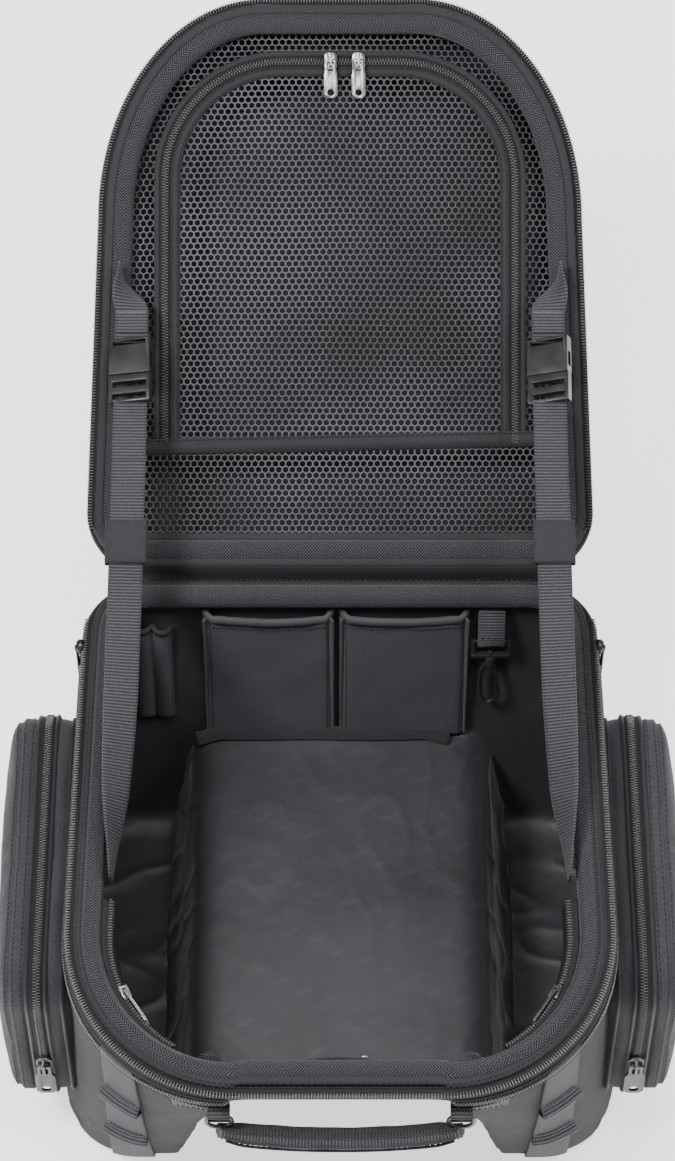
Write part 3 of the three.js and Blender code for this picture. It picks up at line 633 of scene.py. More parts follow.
def remesh(obj, voxel, rounds):
    mod = obj.modifiers.new("voxels", "REMESH")
    mod.mode, mod.voxel_size = "VOXEL", voxel * MM
    soften = obj.modifiers.new("soften", "SMOOTH")
    soften.iterations, soften.factor = rounds, 0.5
    apply_all(obj)
    obj.data.polygons.foreach_set("use_smooth", [True] * len(obj.data.polygons))


def cloth(obj, pressure, cap_out, cap_in, hold=None, frames_run=16, shrink=0.0, stiffness=12.0):
    """Inflates or slackens the fabric, but moves no point more than cap_out or cap_in millimetres."""
    scene = bpy.context.scene
    start = coordinates(obj.data)
    normals = np.array([v.normal[:] for v in obj.data.vertices])
    mod = obj.modifiers.new("cloth", "CLOTH")
    fabric = mod.settings
    fabric.quality = 4
    fabric.effector_weights.gravity = 0.0
    fabric.use_pressure = True
    fabric.uniform_pressure_force = pressure
    fabric.tension_stiffness = fabric.compression_stiffness = stiffness
    fabric.shear_stiffness = stiffness / 2
    fabric.bending_stiffness = 0.4
    fabric.shrink_min = shrink
    mod.collision_settings.use_collision = False
    if hold is not None:
        group = obj.vertex_groups.new(name="held")
        group.add([i for i, co in enumerate(start / MM) if hold(co)], 1.0, "REPLACE")
        fabric.vertex_group_mass = "held"
        fabric.pin_stiffness = 1.0
    mod.point_cache.frame_start, mod.point_cache.frame_end = 1, frames_run
    for step in range(1, frames_run + 1):
        scene.frame_set(step)
    settled = obj.evaluated_get(bpy.context.evaluated_depsgraph_get())
    offset = (coordinates(settled.to_mesh()) - start) / MM
    settled.to_mesh_clear()
    obj.modifiers.remove(mod)
    scene.frame_set(1)
    size = np.linalg.norm(offset, axis=1) + 1e-9
    cap = np.where((offset * normals).sum(axis=1) > 0, cap_out, cap_in)
    offset *= np.minimum(1.0, cap / size)[:, None]
    obj.data.vertices.foreach_set("co", (start + offset * MM).ravel())
    obj.data.update()


def cut_faces(obj, gone, flip=False):
    """Deletes faces whose centre and normal satisfy gone, in millimetres."""
    bm = bmesh.new()
    bm.from_mesh(obj.data)
    drop = [f for f in bm.faces if gone(f.calc_center_median() / MM, f.normal)]
    bmesh.ops.delete(bm, geom=drop, context="FACES")
    if flip:
        bmesh.ops.reverse_faces(bm, faces=bm.faces)
    bm.to_mesh(obj.data)
    bm.free()


def thicken(obj, thick, offset=-1.0):
    mod = obj.modifiers.new("thick", "SOLIDIFY")
    mod.thickness, mod.offset = thick * MM, offset
    apply_all(obj)


def lined(obj, thick, lining):
    """Gives a cloth piece its thickness, with another cloth on its inside."""
    obj.data.materials.append(lining)
    mod = obj.modifiers.new("thick", "SOLIDIFY")
    mod.thickness, mod.offset, mod.material_offset = thick * MM, -1.0, 1
    apply_all(obj)


def subdivide(obj):
    mod = obj.modifiers.new("fine", "SUBSURF")
    mod.levels = mod.render_levels = 1
    apply_all(obj)


def settle(obj, body, slot, *replaced):
    """Says which body a finished piece rides on and the frame nodes it stands for; slot, its material slot, is
    not used.
    """
    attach(obj, body)
    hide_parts(*replaced)


# ---------------------------------------------------------------- the body of the bag
TUNNEL_TOP, TUNNEL_FOOT = 102.0, 121.0
SHELL_TOP = 156.0
FOOT_RADIUS = 14.0
BODY_VOXEL = 4.5
ZIP_END_Y = 162.0


def tunnel_block(name, grow, top, rounding=0):
    """A block under the floor, wider at the feet, as a cutter."""
    verts = []
    for y in (-300, 300):
        for z, half in ((FOOT_Z - 30, TUNNEL_FOOT + 6 + grow), (top, TUNNEL_TOP + grow)):
            verts += [(-half, y, z), (half, y, z)]
    faces = [(0, 1, 3, 2), (4, 6, 7, 5), (0, 4, 5, 1), (2, 3, 7, 6), (0, 2, 6, 4), (1, 5, 7, 3)]
    obj = make(name, verts, faces, BODY_CLOTH, None, smooth=False)
    fix_normals(obj)
    if rounding:
        mod = obj.modifiers.new("rounded", "BEVEL")
        mod.width, mod.segments = rounding * MM, 6
        apply_all(obj)
    return obj


def foot_round(up):
    """How far the outline draws in at a height above the foot, for a soft bottom edge."""
    if up >= FOOT_RADIUS:
        return 0.0
    return max(FOOT_RADIUS - math.sqrt(max(FOOT_RADIUS ** 2 - (FOOT_RADIUS - up) ** 2, 0.0)), 0.0)


def body_block(name, inset, bottom, mat):
    levels = [bottom + d for d in (0, 1.5, 4, 8, 14)] + list(np.linspace(bottom + 24, SHELL_TOP + 10, 20))
    sections = [to_3d(body_outline(z, inset + foot_round(z - bottom), 240), z) for z in levels]
    obj = make(name, *lofted(sections), mat, None)
    fix_normals(obj)
    return obj


def body_shell():
    shell = body_block("body_shell", 1.4, FOOT_Z, BODY_CLOTH)
    cut_out(shell, tunnel_block("tunnel_cut", 0.5, 0.5))
    remesh(shell, BODY_VOXEL, 4)
    cloth(shell, 3.0, 1.2, 2.5, hold=lambda p: p[2] > 140 or abs(p[2] - FOOT_Z) < 4)
    move_verts(shell, lambda p, n: n * (0.7 * wave(*p, 60) + 0.35 * wave(*p, 22, 3)))
    cut_faces(shell, lambda c, n: c.z > SHELL_TOP)
    thicken(shell, 1.6)
    move_verts(shell, lambda p, n: np.array([0, 0, max(FOOT_Z - p[2], 0.0)]))
    walls = ("front_panel", "back_panel", "side_panel_left", "side_panel_right", "base_panel")
    settle(shell, "bag", "ballistic_nylon", *walls)
    return shell


def floor_crown(p):
    """A loose pad under the lining lifts the floor a little, more in the middle."""
    x, y, z = p
    if not 0 < z < 30 or abs(x) > 112:
        return 0.0
    return 2.2 * (1 - (x / 118) ** 2) * smoothstep(y, -150, -90) * (1 - smoothstep(y, 90, 150))


def lining_folds(p, n):
    """The lining is cut a little large: soft puckers all over, and long folds down the walls and wells."""
    x, y, z = p
    low = 1 - smoothstep(z, 20, 120)
    side = smoothstep(abs(x), 92, 130)
    crease = 1 - abs(wave(x * 0.5 + y * 0.3, y * 1.1, z * 0.5, 46, 11)) * 3
    folds = side * (0.35 + 0.65 * low) * (2.2 * max(crease, 0.0) ** 3 + 0.7 * wave(x, y, z * 0.4, 24, 9))
    ridge = max(1 - abs(wave(x * 1.2, y * 0.7, z, 40, 2)) * 5, 0.0)
    flat = (1 - side) * (0.8 * wave(x, y, z, 52, 5) + 0.45 * ridge)
    edge = smoothstep(abs(x), 70, 100) * (1 - side) * 0.6 * wave(x * 0.6, y, z, 34, 4)
    return n * (1.4 + max(folds, -1.0) + flat + edge) + np.array([0, 0, floor_crown(p)])


def body_lining():
    lining = body_block("body_lining", 5.4, FOOT_Z + 5, SATIN)
    cut_out(lining, tunnel_block("hat_cut", 6.5, 8.5, rounding=17))
    remesh(lining, BODY_VOXEL, 10)
    cloth(lining, 1.5, 1.2, 5.0, hold=lambda p: p[2] > 135, shrink=-0.05, stiffness=6.0)
    cut_faces(lining, lambda c, n: c.z > SHELL_TOP - 2, flip=True)
    subdivide(lining)
    move_verts(lining, lining_folds)
    settle(lining, "bag", "lining_fabric", "floor_board")


def rim_path(z, inset, back_shift=0.0):
    """An outline about the rim; back_shift moves its hinge side outwards, where no zip lies outside it."""
    outline = plan_outline(RIM, inset, 0.0, 400) if z > RIM_Z - 4 else body_outline(z, inset, 400)
    path = to_3d(outline, z)
    path[:, 1] += [back_shift * smoothstep(y, 140, 175) for y in path[:, 1]]
    return path


def before_hinge(loop, y):
    """The part of a loop that a zip covers: all but its hinge side, behind y."""
    first = int(np.argmax(loop[:, 1] < y))
    last = len(loop) - int(np.argmax(loop[::-1, 1] < y))
    return loop[first:last]


def rim_trim():
    """From the outside in: half coil, tape, twill band; and piping and the expansion zip below it."""
    around = dict(closed=True, up=UP)
    band = oval(15.5, 16.5, 18, power=2.8)
    sweep("rim_twill_band", rim_path(163.6, 17.8, 6.0), band, TWILL, "bag", "binding_tape",
          replaces=("rim_binding",), **around)
    edge = [(-3.2, -8), (3.0, -8), (3.2, 5.6), (2.4, 6.9), (-2.4, 7.3), (-3.2, 6.2)]
    sweep("rim_inner_tape", rim_path(163.0, 9.0, 4.0), edge, TAPE_CLOTH, "bag", "binding_tape", **around)
    lines = []
    for inset, lift in ((10.4, -0.9), (7.6, -1.1)):
        lines.append((rim_path(171.2, inset, 4.0), UP, dict(pitch=4.2, closed=True, lift=lift)))
    sew("rim_stitching", "bag", "binding_tape", lines)
    path = before_hinge(rim_path(170.4, 2.4), ZIP_END_Y)
    zip_teeth("main_zip_teeth", path, UP, "bag", one_side=1, height=2.6, replaces=("main_zip_chain_body",))
    path = before_hinge(rim_path(167.8, 3.2), ZIP_END_Y)
    tape = [(-2.6, -1.4), (2.2, -1.4), (2.2, 0.6), (-2.6, 1.4)]
    sweep("main_zip_tape", path, tape, DARK_TAPE, "bag", "zip_coil", up=UP)
    cords = ((164.6, 1.4, 1.5), (161.4, 1.2, 1.5), (154.6, 0.6, 1.3), (140.6, 0.0, 1.3))
    piping("rim_piping", [(rim_path(z, inset), radius) for z, inset, radius in cords], "bag", UP)
    gusset = [(-1.2, -3), (0.6, -3), (0.6, 7), (-1.2, 7)]
    sweep("rim_gusset", rim_path(158, 2.0), gusset, BODY_CLOTH, "bag", "ballistic_nylon", **around)
    tape = [(-0.8, -7.5), (0.5, -7.5), (0.9, -3), (0.9, 3), (0.5, 7.5), (-0.8, 7.5)]
    sweep("expansion_tape", rim_path(147.5, 0.8), tape, DARK_TAPE, "bag", "zip_coil",
          replaces=("expansion_zip_chain",), **around)
    path = rim_path(147.5, -1.0)
    zip_teeth("expansion_zip_teeth", path, frames(path, True, UP)[1], "bag", True, width=5.6, height=2.2)


# ---------------------------------------------------------------- the lid, in its own closed coordinates
LID_IN = (0, 0, -1)      # towards the inside of the lid
ARCH = dict(half=131.5, foot=-100.0, top=-385.5, radius=88.5)
HEM_Y = -99.0
NET_PITCH = 5.1
BORDER_STRIP = (36.0, 860.0)     # the border net, cut as one strip: its width and length
NET_REACH = 440.0
LID_ZIP_END_Y = -34.0
BAND_INNER = 25.5


def lid_loop(z, inset, count=400):
    return to_3d(plan_outline(LID, inset, 0.0, count), z)


def lid_shell():
    rows = ((0.4, 1.4), (6, 1.0), (20, 1.0), (34, 1.8), (44, 4.5), (51, 9), (56.5, 16), (60, 25), (62, 36))
    sections = [lid_loop(z, inset, 260) for z, inset in rows]
    shell = make("lid_shell_cover", *lofted(sections), LID_CLOTH, None, world=lid_world)
    fix_normals(shell)
    remesh(shell, 5.0, 3)
    cloth(shell, 3.0, 2.5, 4.0, frames_run=12)
    mouth, inward = lid_world([(0, 0, 3.0)])[0], lid_world([LID_IN])[0] - HINGE
    cut_faces(shell, lambda c, n: float(np.dot(np.array(c) - mouth, inward)) > 0)
    lined(shell, 2.5, INNER_CLOTH)
    settle(shell, "lid", "ballistic_nylon", "lid_shell")


def lid_trim():
    around = dict(closed=True, up=UP)
    lid = dict(world=lid_world)
    band = oval(16.5, 14.5, 18, power=2.8)
    sweep("lid_twill_band", lid_loop(8.4, 17.6), band, TWILL, "lid", "binding_tape",
          replaces=("lid_binding",), **lid, **around)
    edge = [(-3.0, -6.2), (-1.8, -6.9), (1.8, -6.7), (3.0, -5.6), (3.4, 6), (-3.2, 6)]
    sweep("lid_outer_tape", lid_loop(7.6, 8.4), edge, TAPE_CLOTH, "lid", "binding_tape", **lid, **around)
    lines = []
    for inset, lift in ((10.2, -0.6), (7.0, -0.4)):
        lines.append((lid_loop(1.0, inset), LID_IN, dict(pitch=4.2, closed=True, lift=lift)))
    sew("lid_stitching", "lid", "binding_tape", lines, **lid)
    chain = before_hinge(lid_loop(3.4, 2.4, 500), LID_ZIP_END_Y)
    size = dict(width=6.2, height=2.6)
    zip_teeth("lid_zip_teeth", chain, UP, "lid", one_side=1, replaces=("lid_zip_chain",), **size, **lid)
    tape = [(-2.6, -1.2), (2.3, -1.2), (2.3, 1.2), (-2.6, 1.2)]
    sweep("lid_zip_tape", chain + np.array([0, 0, 2.6]), tape, DARK_TAPE, "lid", "zip_coil", up=UP, **lid)
    cords = [(lid_loop(z, inset), 1.45) for z, inset in ((8.8, 0.8), (12.0, 0.7))]
    piping("lid_piping", cords, "lid", UP, **lid)


def arch_path(grow=0.0, *, z):
    """The flap's zip: up one side, round two wide corners and across the top. grow moves it outwards."""
    half, r = ARCH["half"] + grow, ARCH["radius"] + grow
    middle = ARCH["top"] - grow + r
    pts = [(-half, ARCH["foot"])]
    pts += arc(-(half - r), middle, r, r, math.pi)
    pts += arc(half - r, middle, r, r, 1.5 * math.pi)
    pts += [(half, ARCH["foot"])]
    return to_3d(resample(pts, 260), z)


def arch_depth(x, y):
    """How far a point lies inside the arch, in millimetres; negative outside it."""
    half, r, top = ARCH["half"], ARCH["radius"], ARCH["top"]
    dx, dy = abs(x) - (half - r), (top + r) - y
    if dx > 0 and dy > 0:
        return r - math.hypot(dx, dy)
    return min(half - abs(x), y - top)


def net_height(x, y):
    """Height of the net: sunk between the trim, pulled up to the zip, and billowing a little."""
    inside = arch_depth(x, y)
    if y > HEM_Y:
        sag = math.sin(math.pi * smoothstep(y, HEM_Y, -24))
        fold = 1 - abs(wave(x * 0.6 + 0.5 * y, y, 0, 48, 2)) * 3
        return 12.5 - sag * (2.0 * max(fold, -0.5) + 1.6 * wave(x, y, 0, 26, 8))
    if inside > 0:
        billow = smoothstep(inside, 4, 50) * smoothstep(HEM_Y - y, 3, 55)
        ridge = 1 - abs(wave(x * 1.1 + 0.4 * y, y * 0.7, 0, 105, 4)) * 2.4
        return 11.6 - billow * (1.0 + 5.0 * max(ridge, -0.6) + 1.2 * wave(x, y, 0, 38, 6))
    away = smoothstep(-inside, 2, 20)
    return 11.4 + away * (5.0 + 4.5 * wave(x, y, 0, 42, 1))


def within(poly, x, y):
    xs, ys = poly[:, 0], poly[:, 1]
    xn, yn = np.roll(xs, -1), np.roll(ys, -1)
    crossing = ((ys > y) != (yn > y)) & (x < (xn - xs) * (y - ys) / (yn - ys + 1e-12) + xs)
    return bool(crossing.sum() % 2)


def mesh_net(name, keep, hole, replaces):
    """Knitted net: hexagonal cells with a round hole in each."""
    edge = NET_PITCH / math.sqrt(3)
    verts, faces, index = [], [], {}

    def corner(x, y):
        key = (round(x * 20), round(y * 20))
        if key not in index:
            index[key] = len(verts)
            verts.append((x, y, net_height(x, y)))
        return index[key]

    for row in range(int(NET_REACH / (edge * 1.5)) + 2):
        y = -8 - row * edge * 1.5
        for col in range(-36, 37):
            x = col * NET_PITCH + (row % 2) * NET_PITCH / 2
            if not keep(x, y):
                continue
            turns = np.arange(6) * math.pi / 3
            outer = [corner(x + edge * math.sin(a), y + edge * math.cos(a)) for a in turns]
            base = len(verts)
            for k in range(6):
                a = k * math.pi / 3
                hx, hy = x + edge * hole * math.sin(a), y + edge * hole * math.cos(a)
                verts.append((hx, hy, net_height(hx, hy)))
            for k in range(6):
                m = (k + 1) % 6
                faces.append((outer[k], outer[m], base + m, base + k))
    obj = make(name, verts, faces, NET, None, world=lid_world, replaces=replaces)
    thicken(obj, 0.7, 0.0)
    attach(obj, "lid")
    xs = [v[0] for v in verts]
    ys = [v[1] for v in verts]
    return obj, max(xs) - min(xs), max(ys) - min(ys)


def nets():
    rim = plan_outline(LID, BAND_INNER - 3, 0.0, 240)

    def border(x, y):
        return within(rim, x, y) and y < HEM_Y and arch_depth(x, y) < 1.5

    def flap(x, y):
        return y < HEM_Y and arch_depth(x, y) > -1.5

    def lower(x, y):
        return within(rim, x, y) and y >= HEM_Y - 3

    areas = (
        ("net_border", 0.79, border, ("lid_mesh_panel",)),
        ("net_flap", 0.75, flap, ()),
        ("net_lower", 0.78, lower, ()),
    )
    for name, hole, keep, gone in areas:
        obj, width, length = mesh_net(name, keep, hole, gone)
        if name == "net_border":
            width, length = BORDER_STRIP


def lid_ribbon(name, path, half, thick, mat=None, slot="binding_tape", **more):
    profile = slab(half, -thick / 2, thick / 2)
    sweep(name, path, profile, mat or TAPE_CLOTH, "lid", slot, world=lid_world, up=LID_IN, **more)


def net_trim():
    replaced = ("mesh_zip_chain",)
    lid_ribbon("flap_zip_tape", arch_path(z=10.6), 6.5, 0.8, DARK_TAPE, "zip_coil", replaces=replaced)
    zip_teeth("flap_zip_teeth", arch_path(z=9.6), LID_IN, "lid", world=lid_world)
    lid_ribbon("flap_binding", arch_path(-7.6, z=10.0), 3.6, 1.5)
    lid_ribbon("flap_outer_binding", arch_path(6.2, z=10.4), 2.0, 1.2)
    across = np.linspace(-162, 162, 80)
    hem = np.array([(x, HEM_Y - 3.5 * x / 160, 9.6 + 0.5 * wave(x, 0, 0, 40)) for x in across])
    lid_ribbon("net_hem", hem, 5.75, 1.8)
    lines = [(hem + np.array([0, shift, -1.2]), LID_IN, dict(lift=0.0)) for shift in (-4.3, 4.3)]
    lines += [(arch_path(grow, z=9.1), LID_IN, {}) for grow in (-10.2, -4.9)]
    sew("net_stitching", "lid", "binding_tape", lines, world=lid_world)
    lid_ribbon("net_hinge_binding", [(x, -27.5, 9.4) for x in np.linspace(-158, 158, 60)], 3.5, 1.6)


def hinge_tape():
    """A strip of fabric from the back of the rim to the edge of the lid, on which the lid turns."""
    route = ((199.7, 154.0), (199.7, 161), (199.6, 168), (199.8, 171.4),
             (200.4, 173.4), (201.2, 175.1), (202.4, 176.8))
    path = resample([(0.0, y, z) for y, z in route], 18)
    flat = slab(150, -0.7, 0.7)
    tape = sweep("hinge_tape", path, flat, DARK_TAPE, None, up=(0, 1, 0), replaces=("hinge_panel",))
    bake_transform(tape)


# ---------------------------------------------------------------- stay straps
STAY_DIR = np.array([0.0, -0.9569, -0.2904])
STAY_UP = np.array([0.0, -0.2904, 0.9569])
STAY_TOP = (155.0, 385.63, 299.02)
STRAP = 25.0
SPLIT = 150.0            # the webbing at the buckle's plug ends here and a middle piece begins
FREE = 190.0             # the middle piece ends here and the lower strap runs on below it
LOOP_SIDES = 24
QUARTER = math.pi / 2


def stay_point(sign, s, x, turn, v, lift=0.0):
    """A point at distance s along a stay, v across the strap, turned about its length."""
    across = np.array([1.0, 0, 0]) * math.cos(turn) + STAY_UP * math.sin(turn)
    out = np.cross(across, STAY_DIR)
    return np.array([sign * x, STAY_TOP[1], STAY_TOP[2]]) + STAY_DIR * s + across * v + out * lift


def strap_sheet(name, stations, sign, replaces=(), width=STRAP):
    """stations are (s, x, turn); the strap runs smoothly through them."""
    at, xs, turns = np.array(stations, float).T
    cols = 9
    stops = np.linspace(at[0], at[-1], int((at[-1] - at[0]) / 2.0) + 2)
    verts, uvs = [], []
    for s in stops:
        x, turn = np.interp(s, at, xs), np.interp(s, at, turns) * sign
        sway = 0.5 * wave(s, sign * 50, 0, 90, 2)
        for v in (np.arange(cols) / (cols - 1) - 0.5) * width:
            edge = abs(2 * v / width) ** 6 * 0.25
            verts.append(stay_point(sign, s, x, turn, v, sway - edge))
            uvs.append((s, v + width))
    faces = grid_faces(len(stops), cols)
    obj = make(name, verts, faces, WEBBING, None, "webbing", uvs=uvs, replaces=replaces)
    thicken(obj, 1.6, 0.0)
    return obj


def keeper_loop(name, sign, s0, s1, x, width, thick):
    """A flattened sleeve of tape round a strap."""
    centre = [stay_point(sign, s, x, 0.0, 0.0) for s in np.linspace(s0, s1, 10)]
    heap = Heap()
    outer = oval(width, thick, LOOP_SIDES, power=5)
    heap.add(*sweep_data(centre, outer, up=STAY_UP, caps=False))
    inner = oval(width - 2.6, thick - 2.4, LOOP_SIDES, power=5)
    verts, faces, uvs = sweep_data(centre, inner, up=STAY_UP, caps=False)
    heap.add(verts, [tuple(reversed(f)) for f in faces], uvs)
    ring = LOOP_SIDES + 1
    for end in (0, (len(centre) - 1) * ring):
        for a in range(end, end + LOOP_SIDES):
            b = len(centre) * ring + a
            face = (a, b, b + 1, a + 1)
            heap.faces.append(face if end == 0 else tuple(reversed(face)))
    return heap.make(name, TAPE_CLOTH, None, "webbing")


def stays():
    upper = ((-3.5, 164, QUARTER * 0.98), (4, 163.4, QUARTER * 0.9), (14, 160.5, QUARTER * 0.58),
             (24, 157, QUARTER * 0.22), (32, 155, 0), (57, 155, 0))
    lower = ((FREE, 155.9, 0.03), (250, 156.5, 0.08), (330, 158, 0.3), (400, 160.5, QUARTER * 0.5),
             (440, 162.5, QUARTER * 0.86), (463, 163, QUARTER))
    for side, sign in SIDES:
        stay, plug_body = f"stay_{side}", f"buckle_plug_{side}"
        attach(strap_sheet(f"stay_upper_strap_{side}", upper, sign, (f"stay_upper_{side}",)), stay)
        fold = strap_sheet(f"stay_fold_patch_{side}", ((33, 155, 0), (50, 155, 0)), sign, width=STRAP - 1.5)
        move_verts(fold, lambda p, n: STAY_UP * 1.7)
        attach(fold, stay)
        strap = strap_sheet(f"stay_lower_strap_{side}", lower, sign, (f"stay_strap_{side}",))
        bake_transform(strap)
        strap = strap_sheet(f"stay_turn_strap_{side}", ((SPLIT, 155.4, 0), (FREE, 155.9, 0.03)), sign)
        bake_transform(strap)
        strap = strap_sheet(f"stay_plug_strap_{side}", ((102, 155, 0), (SPLIT, 155.4, 0)), sign)
        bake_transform(strap)
        tail = strap_sheet(f"stay_tail_{side}", ((104, 155, 0), (SPLIT - 2, 155.4, 0)), sign, width=STRAP - 1)
        move_verts(tail, lambda p, n: STAY_UP * -2.0)
        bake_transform(tail)
        keeper = keeper_loop(f"stay_keeper_{side}", sign, 196, 229, 156.3, 31, 8.2)
        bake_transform(keeper)
        lines = []
        for s in (43, 46.5):
            line = [stay_point(sign, s, 155, 0, v, 2.6) for v in np.linspace(-10.5, 10.5, 8)]
            lines.append((line, STAY_UP, dict(pitch=3.0, long=2.2, lift=0.2)))
        sew(f"stay_stitching_{side}", stay, "webbing", lines)


# ---------------------------------------------------------------- hardware kept from the frame's own shapes
def refine(node, mat, bevel, slot, segments=2, turn=None):
    """A finer copy of a hard piece, with its edges rounded; turn is (angle, axis, a point on it)."""
    source = frame["nodes"][node]
    obj = bpy.data.objects.new(node + "_fine", source.data.copy())
    bpy.context.scene.collection.objects.link(obj)
    obj.data.materials.clear()
    obj.data.materials.append(mat)
    bm = bmesh.new()
    bm.from_mesh(obj.data)
    bmesh.ops.remove_doubles(bm, verts=bm.verts, dist=0.00002)
    bmesh.ops.dissolve_limit(bm, angle_limit=math.radians(2), verts=bm.verts, edges=bm.edges)
    bm.to_mesh(obj.data)
    bm.free()
    mod = obj.modifiers.new("rounded", "BEVEL")
    mod.width, mod.segments = bevel * MM, segments
    mod.limit_method, mod.angle_limit = "ANGLE", math.radians(28)
    mod.harden_normals = True
    obj.data.polygons.foreach_set("use_smooth", [True] * len(obj.data.polygons))
    apply_all(obj)
    if turn:
        angle, axis, point = turn
        about = Matrix.Translation(Vector(point) * MM)
        obj.data.transform(about @ Matrix.Rotation(angle, 4, Vector(axis)) @ about.inverted())
    settle(obj, source["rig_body"], slot, node)


def plate(low, high, bevel):
    """A bevelled block's mesh data, for a small casting or stamping."""
    low, high = Vector(low), Vector(high)
    bm = bmesh.new()
    bmesh.ops.create_cube(bm, size=1.0)
    for v in bm.verts:
        v.co = (low + high) / 2 + v.co * (high - low)
    bmesh.ops.bevel(bm, geom=bm.edges[:], offset=bevel, segments=3, affect="EDGES", clamp_overlap=True)
    data = [tuple(v.co) for v in bm.verts], [tuple(v.index for v in f.verts) for f in bm.faces]
    bm.free()
    return data


def parked_slider(side, sign):
    """A main zip slider at the end of the chain, its pull lying against the side of the bag."""
    lo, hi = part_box(f"main_zip_slider_{side}")
    y, top, low = (lo.y + hi.y) / 2 / MM, hi.z / MM, lo.z / MM
    x = RIM["half_back"] + 0.5
    heap = Heap()
    for first, last, bevel in (
        ((x - 2, y - 4.6, top - 9.5), (x + 4.2, y + 4.6, top + 0.5), 1.4),
        ((x + 3.0, y - 3.8, low + 8), (x + 4.6, y + 3.8, top - 5.5), 0.6),
        ((x + 3.6, y - 1.6, top - 9), (x + 5.6, y + 1.6, top - 2.5), 0.7),
    ):
        verts, faces = plate(first, last, bevel)
        heap.add(np.array(verts) * np.array([sign, 1, 1]), faces if sign > 0 else [f[::-1] for f in faces])
    name = f"main_zip_slider_{side}"
    heap.make(f"{name}_fine", GUNMETAL, "bag", "dark_pull", replaces=(name,))


def hardware():
    for side, sign in SIDES:
        lean = math.radians(16 if side == "left" else 24)
        tip = (lean, tuple(STAY_DIR), tuple(stay_point(sign, 80, 155, 0, 0)))
        refine(f"buckle_female_{side}", PLASTIC, 1.1, "moulded_plastic", 3, turn=tip)
        refine(f"buckle_male_{side}", PLASTIC, 0.9, "moulded_plastic", 3, turn=tip)
        parked_slider(side, sign)
        inner = (STEEL, "plated_steel") if side == "left" else (GUNMETAL, "dark_pull")
        for zip_name, (mat, slot), slider_bevel, pull_bevel in (
            (f"inner_zip_{side}", inner, 0.35, 0.3),
            (f"mesh_zip_{side}", (DARK_NICKEL, "plated_steel"), 0.35, 0.3),
            (f"pocket_zip_{side}", (GUNMETAL, "dark_pull"), 0.4, 0.35),
        ):
            refine(f"{zip_name}_slider", mat, slider_bevel, slot)
            refine(f"{zip_name}_pull", mat, pull_bevel, slot)
        refine(f"handle_ring_{side}", GUNMETAL, 0.4, "plated_steel")
    for node in ("key_clip_eye", "key_clip_hook", "key_clip_gate"):
        refine(node, PLASTIC, 0.4, "moulded_plastic")


# ---------------------------------------------------------------- side pockets
POCKET = dict(front=-133.0, back=110.0, bottom=-38.0, top=131.0, corner=26.0)
COVER_SEAM_X = 236.5


def pocket_outline(inset, count=200):
    """Rounded rectangle in Y-Z, counter-clockwise seen from +X, starting at the middle of the foot."""
    r = max(POCKET["corner"] - inset * 0.4, 8)
    y0, y1 = POCKET["front"] + inset + r, POCKET["back"] - inset - r
    z0, z1 = POCKET["bottom"] + inset + r, POCKET["top"] - inset - r
    pts = [((y0 + y1) / 2, z0 - r)]
    for y, z, start in ((y1, z0, -QUARTER), (y1, z1, 0.0), (y0, z1, QUARTER), (y0, z0, 2 * QUARTER)):
        pts += arc(y, z, r, r, start, 14)
    return resample(np.array(pts), count, closed=True)


def at_x(outline, x):
    return np.column_stack([np.full(len(outline), float(x)), outline])


def mirrored(sign):
    return (lambda pts: np.asarray(pts, float) * np.array([sign, 1.0, 1.0])) if sign < 0 else None


def pocket_shell(name, rows, sign, cap_out):
    sections = [at_x(pocket_outline(inset), x) for x, inset in rows]
    obj = make(name, *lofted(sections), CASE_CLOTH, None, world=mirrored(sign))
    fix_normals(obj)
    remesh(obj, 3.6, 2)
    cloth(obj, 3.5, cap_out, 2.0, frames_run=12)
    return obj


def seam_pinch(p, n):
    """The cover is drawn in along its welt seam, and its cloth is a little uneven."""
    depth = -1.7 * math.exp(-((abs(p[0]) - COVER_SEAM_X) / 1.6) ** 2)
    return n * (depth + 0.9 * wave(p[0] * 0.5, p[1], p[2], 42, 3) + 0.3 * wave(*p, 16, 7))


def side_pockets():
    cover_rows = ((220.6, 1.2), (224, 0.4), (230, 0.2), (235, 1.0), (238.5, 3.2), (241, 7), (243, 14),
                  (244.4, 26), (245.2, 42))
    tray_rows = ((193.0, 6), (198, 2.0), (205, 0.6), (214, 0.4), (219.2, 1.2))
    for side, sign in SIDES:
        cover = pocket_shell(f"side_pocket_cover_{side}", cover_rows, sign, 3.2)
        subdivide(cover)
        move_verts(cover, seam_pinch)
        cut_faces(cover, lambda c, n: abs(c.x) < 222.0)
        lined(cover, 2.2, POCKET_CLOTH)
        settle(cover, f"pocket_door_{side}", "ballistic_nylon", f"pocket_cover_{side}")
        tray = pocket_shell(f"side_pocket_tray_{side}", tray_rows, sign, 1.2)
        cut_faces(tray, lambda c, n: abs(c.x) > 217.6)
        lined(tray, 2.0, POCKET_CLOTH)
        settle(tray, "bag", "ballistic_nylon", f"pocket_tray_{side}")
        pocket_trim(side, sign, cover)


